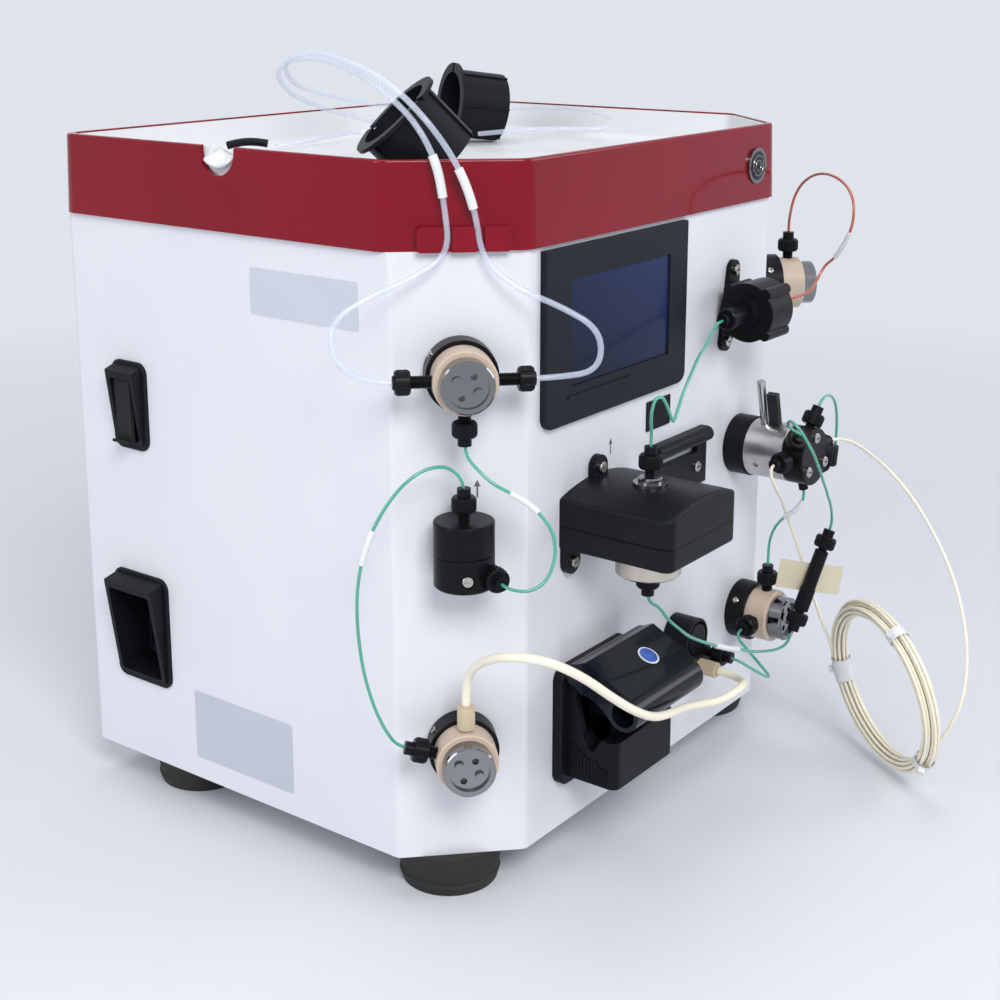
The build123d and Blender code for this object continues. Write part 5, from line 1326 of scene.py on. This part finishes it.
@dataclass(frozen=True)
class Display:
    """The touch screen's glass, with a painted reflection that lightens it towards its upper right corner.
    """

    dark: Colour = (0.006, 0.010, 0.030)
    # Colour of the painted reflection at the glass's upper right corner
    painted_reflection_colour: Colour = (0.016, 0.028, 0.095)

    def build(self, case: Case, nodes: dict[str, bpy.types.Object]) -> None:
        """Give the screen a deep blue glass with a painted reflection that lightens it towards the upper
        right corner.

        Args:
            case: Where the instrument stands.
            nodes: The frame's nodes by name.
        """
        graph = Graph("screen_glass")
        place = graph.place()
        rise = (graph.axis(place, "Z") - 0.280) * (1 / 0.063)
        run = (graph.axis(place, "X") - (case.middle_x - 0.096)) * (1 / 0.100)
        cloud = graph.noise(place, 30, 2)
        # Painted reflection: the glass is painted lighter towards its upper right corner
        backdrop_glow_and_painted_reflection = (rise * 0.55 + run * 0.45 + (cloud - 0.5) * 0.05).step(0.15, 0.95)
        surface = graph.surface.inputs
        graph.feed(surface["Base Color"], graph.blend(backdrop_glow_and_painted_reflection, self.dark, self.painted_reflection_colour))
        graph.feed(surface["Roughness"], (cloud - 0.5) * 0.04 + 0.16)
        surface["Specular IOR Level"].default_value = 0.12
        paint(nodes["touch_screen"], graph.material)
        LOG.info("screen")


@dataclass(frozen=True)
class InjectionHandle:
    """Chrome of the valve's handle, with its stop in black."""

    stop_depth: float = 25.5
    chrome: Colour = (0.50, 0.50, 0.51)
    black: Colour = (0.006, 0.006, 0.007)

    def build(self, case: Case, nodes: dict[str, bpy.types.Object]) -> None:
        """Give the rod polished metal and the stop in front of it black plastic.

        Args:
            case: Where the instrument stands.
            nodes: The frame's nodes by name.
        """
        graph = Graph("handle_and_stop")
        place = graph.place()
        edge = case.front(0, 0, self.stop_depth).origin.y
        rod = (graph.axis(place, "Y") - edge).step(-0.0001, 0.0001)
        cloud = graph.noise(place, 40, 2)
        surface = graph.surface.inputs
        graph.feed(surface["Base Color"], graph.blend(rod, self.black, self.chrome))
        graph.feed(surface["Metallic"], rod)
        graph.feed(surface["Roughness"], 0.36 - rod * 0.22 + (cloud - 0.5) * 0.05)
        paint(nodes["injection_handle"], graph.material)
        LOG.info("injection handle")


@dataclass(frozen=True)
class Badge:
    """Round badge: a polished rim ring and a plain sunk face in place of its sign."""

    x: float = 107
    z: float = 381.5
    radius: float = 11

    def build(self, case: Case, wardrobe: Wardrobe) -> None:
        """Make the ring and the plain dark face.

        Args:
            case: Where the instrument stands.
            wardrobe: Gives the finishes.
        """
        seat = case.front(self.x, self.z, 3.3)
        face = lathed("badge_face", seat, ((8.9, -0.1), (8.9, 0.12), (8.2, 0.3)))
        wardrobe.dress(face, BLACK_GLOSS)
        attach(face, Body.CASE.value)
        for index, reach in enumerate((3.2, 6.2)):
            profile = (
                (reach - 0.5, 0),
                (reach - 0.3, 0.35),
                (reach + 0.3, 0.35),
                (reach + 0.5, 0),
            )
            ring = lathed(f"badge_ring_{index + 1}", seat.shifted(out=0.25), profile)
            wardrobe.dress(ring, CHROME)
            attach(ring, Body.CASE.value)
        LOG.info("badge")


@dataclass(frozen=True)
class PumpDress:
    """Plain blue sign on the pump's lid, and the stepped ribbed plate on its body's side."""

    x: float = -60
    y: float = -184
    radius: float = 6.5
    body_left: float = -98.5
    body_middle_y: float = -172
    body_bottom: float = 57
    steps: tuple[tuple[float, float], ...] = (
        (-14, 1),
        (10, 1),
        (10, 11),
        (5, 11),
        (3, 14.5),
        (-3, 14.5),
        (-5, 17.5),
        (-9, 17.5),
        (-10, 21),
        (-14, 21),
    )
    rib_places: tuple[tuple[float, float], ...] = (
        (-12.5, 19.5),
        (-10.2, 16.5),
        (-7.9, 16.2),
        (-5.6, 16.2),
        (-3.3, 13.2),
        (-1, 13.2),
        (1.3, 13.2),
        (3.6, 10),
        (5.9, 9.6),
        (8.2, 9.6),
    )
    plate_depth: float = 0.7

    def build(self, case: Case, wardrobe: Wardrobe) -> None:
        """Make the sign on the lid's sloping top.

        Args:
            case: Where the instrument stands.
            wardrobe: Gives the finishes.
        """
        top_height = 130.5
        slope = 14.5 / 29.5
        z = top_height - slope * (-170 - self.y)
        out = Vector((0, -slope, 1)).normalized()
        right = Vector((1, 0, 0))
        seat = Seat(case.place(self.x, self.y, z), right, out.cross(right), out)
        wide, narrow = self.radius, self.radius - 1
        rim = lathed("lid_sign_rim", seat, ((wide, -0.2), (wide, 0.25), (wide - 0.2, 0.3)))
        wardrobe.dress(rim, LABEL)
        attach(rim, Body.PUMP_LID.value)
        face = lathed("lid_sign", seat, ((narrow, 0.2), (narrow, 0.42), (narrow - 0.2, 0.45)))
        wardrobe.dress(face, SIGN_BLUE)
        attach(face, Body.PUMP_LID.value)
        self.side_plate(case, wardrobe)
        LOG.info("pump lid sign and side plate")

    def side_plate(self, case: Case, wardrobe: Wardrobe) -> None:
        """Make the plate on the body's left side and its upright ribs.

        Args:
            case: Where the instrument stands.
            wardrobe: Gives the finishes.
        """
        origin = case.place(self.body_left, self.body_middle_y, self.body_bottom)
        seat = Seat(origin, Vector((0, -1, 0)), Vector((0, 0, 1)), Vector((-1, 0, 0)))
        pieces = [outline_prism("pump_side_plate", seat, self.steps, self.plate_depth)]
        for index, (across, top) in enumerate(self.rib_places):
            middle = (top + 2) / 2
            place = seat.shifted(right=across, up=middle, out=self.plate_depth - 0.1)
            outline = rounded_outline(0.9, top - 2, 0.4, 3)
            pieces.append(outline_prism(f"pump_side_rib_{index + 1}", place, outline, 0.6))
        for piece in pieces:
            wardrobe.dress(piece, BLACK_SATIN)
            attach(piece, Body.CASE.value)


@dataclass(frozen=True)
class RestrictorTag:
    """Curled card tag tied behind the flow restrictor, left bare."""

    middle: Point = (116, -196.3, 120)
    width: float = 41
    height: float = 19

    def build(self, case: Case, wardrobe: Wardrobe) -> bpy.types.Object:
        """Return the card with a gentle curl.

        Args:
            case: Where the instrument stands.
            wardrobe: Gives the finish.

        Returns:
            The card.
        """
        mesh = bmesh.new()
        columns = []
        for step in range(13):
            share = step / 12 - 0.5
            curl = 3 * share * share - 0.4
            column = []
            for side in (-0.5, 0.5):
                spot = (share * self.width, side * self.height, -curl)
                column.append(mesh.verts.new(tuple(value * MILLIMETRE for value in spot)))
            columns.append(column)
        for left, right in zip(columns, columns[1:]):
            mesh.faces.new((left[0], right[0], right[1], left[1]))
        right, up, out = Vector((0.6, -0.8, 0)), Vector((0, 0, 1)), Vector((-0.8, -0.6, 0))
        seat = Seat(case.place(*self.middle), right, up, out)
        tag = new_object("restrictor_tag", mesh, seat.spun(-8).matrix(), smooth=False)
        thick = tag.modifiers.new("card", "SOLIDIFY")
        thick.thickness = 0.4 * MILLIMETRE
        wardrobe.dress(tag, CARD)
        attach(tag, Body.CASE.value)
        LOG.info("restrictor tag")
        return tag


@dataclass(frozen=True)
class Lamp:
    """One soft lamp that faces the instrument; its power is in watts."""

    name: str
    spot: Point
    size: tuple[float, float]
    power: float
    colour: Colour

    def build(self) -> None:
        """Add the lamp."""
        data = bpy.data.lights.new(self.name, "AREA")
        data.shape = "RECTANGLE"
        data.size, data.size_y = self.size
        data.energy = self.power
        data.color = self.colour
        piece = bpy.data.objects.new(self.name, data)
        piece.location = self.spot
        aim = Vector((0, 0, 0.2)) - Vector(self.spot)
        piece.rotation_euler = aim.to_track_quat("-Z", "Y").to_euler()
        bpy.context.scene.collection.objects.link(piece)


LAMPS: tuple[Lamp, ...] = (
    Lamp("key", (-1.3, -1.7, 1.9), (1.1, 0.9), 46, (1.0, 0.99, 0.97)),
    Lamp("fill", (1.5, -1.7, 1.1), (1.2, 1.2), 15, (0.95, 0.97, 1.0)),
    Lamp("top", (0.1, 0.3, 2.3), (1.6, 1.2), 14, (1.0, 1.0, 1.0)),
    Lamp("left_side", (-2.1, 0.5, 1.1), (0.9, 1.4), 14, (0.96, 0.98, 1.0)),
)


@dataclass(frozen=True)
class Studio:
    """Camera, lamps, sky and floor."""

    camera_spot: Point = (-794.86, -630.0, 493.72)
    turn: float = 53.179
    dip: float = 13.484
    lens: float = 58.84
    shift_y: float = -0.13
    floor_colour: Colour = (0.72, 0.74, 0.78)
    backdrop: Colour = (0.74, 0.77, 0.83)

    def camera(self, case: Case) -> None:
        """Make the camera at the photograph's viewing angle."""
        data = bpy.data.cameras.new("camera")
        data.lens = self.lens
        data.sensor_width = 36
        data.shift_y = self.shift_y
        data.clip_end = 50
        piece = bpy.data.objects.new("camera", data)
        piece.location = case.place(*self.camera_spot)
        piece.rotation_euler = (math.radians(90 - self.dip), 0, math.radians(-self.turn))
        bpy.context.scene.collection.objects.link(piece)
        bpy.context.scene.camera = piece

    def build(self) -> None:
        """Make the floor, sky and lamps."""
        mesh = bmesh.new()
        bmesh.ops.create_grid(mesh, x_segments=1, y_segments=1, size=8)
        floor = new_object("floor", mesh, Matrix.Identity(4), smooth=False)
        paint(floor, self.floor_paint())
        self.sky()
        for lamp in LAMPS:
            lamp.build()
        bpy.context.scene.view_settings.view_transform = "Standard"
        LOG.info("studio")

    def floor_paint(self) -> bpy.types.Material:
        """Return a pale paint that fades into the sky away from the instrument."""
        graph = Graph("floor_paint")
        place = graph.place()
        cloud = graph.noise(place, 3, 3)
        shade = tuple(0.97 * channel for channel in self.floor_colour)
        graph.feed(graph.surface.inputs["Base Color"], graph.blend(cloud, self.floor_colour, shade))
        graph.surface.inputs["Roughness"].default_value = 0.55
        length = graph.node("ShaderNodeVectorMath", {"operation": "LENGTH"}, {0: place})
        away = Value(graph, length.outputs["Value"]).step(0.45, 1.5)
        path = graph.node("ShaderNodeLightPath", {}, {})
        seen = Value(graph, path.outputs["Is Camera Ray"]) + Value(graph, path.outputs["Is Glossy Ray"])
        seen = seen + Value(graph, path.outputs["Is Transmission Ray"])
        backdrop_glow_and_painted_reflection = graph.node("ShaderNodeEmission", {}, {"Color": self.backdrop, "Strength": 1.0})
        factor = seen.step(0, 1) * away
        inputs = {0: factor, 1: graph.surface.outputs[0], 2: backdrop_glow_and_painted_reflection.outputs[0]}
        mixed = graph.node("ShaderNodeMixShader", {}, inputs)
        output = next(node for node in graph.tree.nodes if node.type == "OUTPUT_MATERIAL")
        graph.tree.links.new(mixed.outputs[0], output.inputs["Surface"])
        return graph.material

    def sky(self) -> None:
        """Make a soft sky that shows pale behind the instrument."""
        world = bpy.data.worlds.new("sky")
        bpy.context.scene.world = world
        world.use_nodes = True
        tree = world.node_tree
        tree.nodes.clear()
        light = tree.nodes.new("ShaderNodeBackground")
        light.inputs["Color"].default_value = (0.82, 0.87, 1.0, 1)
        light.inputs["Strength"].default_value = 0.38
        seen = tree.nodes.new("ShaderNodeBackground")
        seen.inputs["Color"].default_value = (*self.backdrop, 1)
        seen.inputs["Strength"].default_value = 1
        path = tree.nodes.new("ShaderNodeLightPath")
        pair = tree.nodes.new("ShaderNodeMath")
        pair.operation = "ADD"
        both = tree.nodes.new("ShaderNodeMath")
        both.operation = "ADD"
        both.use_clamp = True
        mix = tree.nodes.new("ShaderNodeMixShader")
        output = tree.nodes.new("ShaderNodeOutputWorld")
        tree.links.new(path.outputs["Is Camera Ray"], pair.inputs[0])
        tree.links.new(path.outputs["Is Glossy Ray"], pair.inputs[1])
        tree.links.new(pair.outputs[0], both.inputs[0])
        tree.links.new(path.outputs["Is Transmission Ray"], both.inputs[1])
        tree.links.new(both.outputs[0], mix.inputs[0])
        tree.links.new(light.outputs[0], mix.inputs[1])
        tree.links.new(seen.outputs[0], mix.inputs[2])
        tree.links.new(mix.outputs[0], output.inputs["Surface"])


def main() -> None:
    """Dress the instrument, piece by piece."""
    logging.basicConfig(level=logging.INFO, format="%(message)s")
    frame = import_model()
    nodes = frame["nodes"]
    case = Case.from_frame()
    wardrobe = Wardrobe()
    studio = Studio()
    studio.camera(case)
    hung = {"tube_injection_restrictor": (nodes["flow_restrictor"], RestrictorTag().build(case, wardrobe))}
    for tube in TUBES:
        tube.build(case, wardrobe, hung.get(tube.node, ()))
    SampleLoop().build(case, wardrobe)
    wardrobe.dress_nodes(nodes)
    Display().build(case, nodes)
    InjectionHandle().build(case, nodes)
    GripHeads("finger_fittings", "fitting_grip", BLACK_MACHINED).build(nodes, wardrobe)
    cream = GripHeads("pump_tube_fittings", "cream_grip", CREAM_FITTING, 4, 24, 0.15, 0.4, False)
    cream.build(nodes, wardrobe)
    CollarScrews().build(nodes, wardrobe)
    PanelDress().build(case, wardrobe)
    Badge().build(case, wardrobe)
    PumpDress().build(case, wardrobe)
    studio.build()


if __name__ == "__main__":
    main()
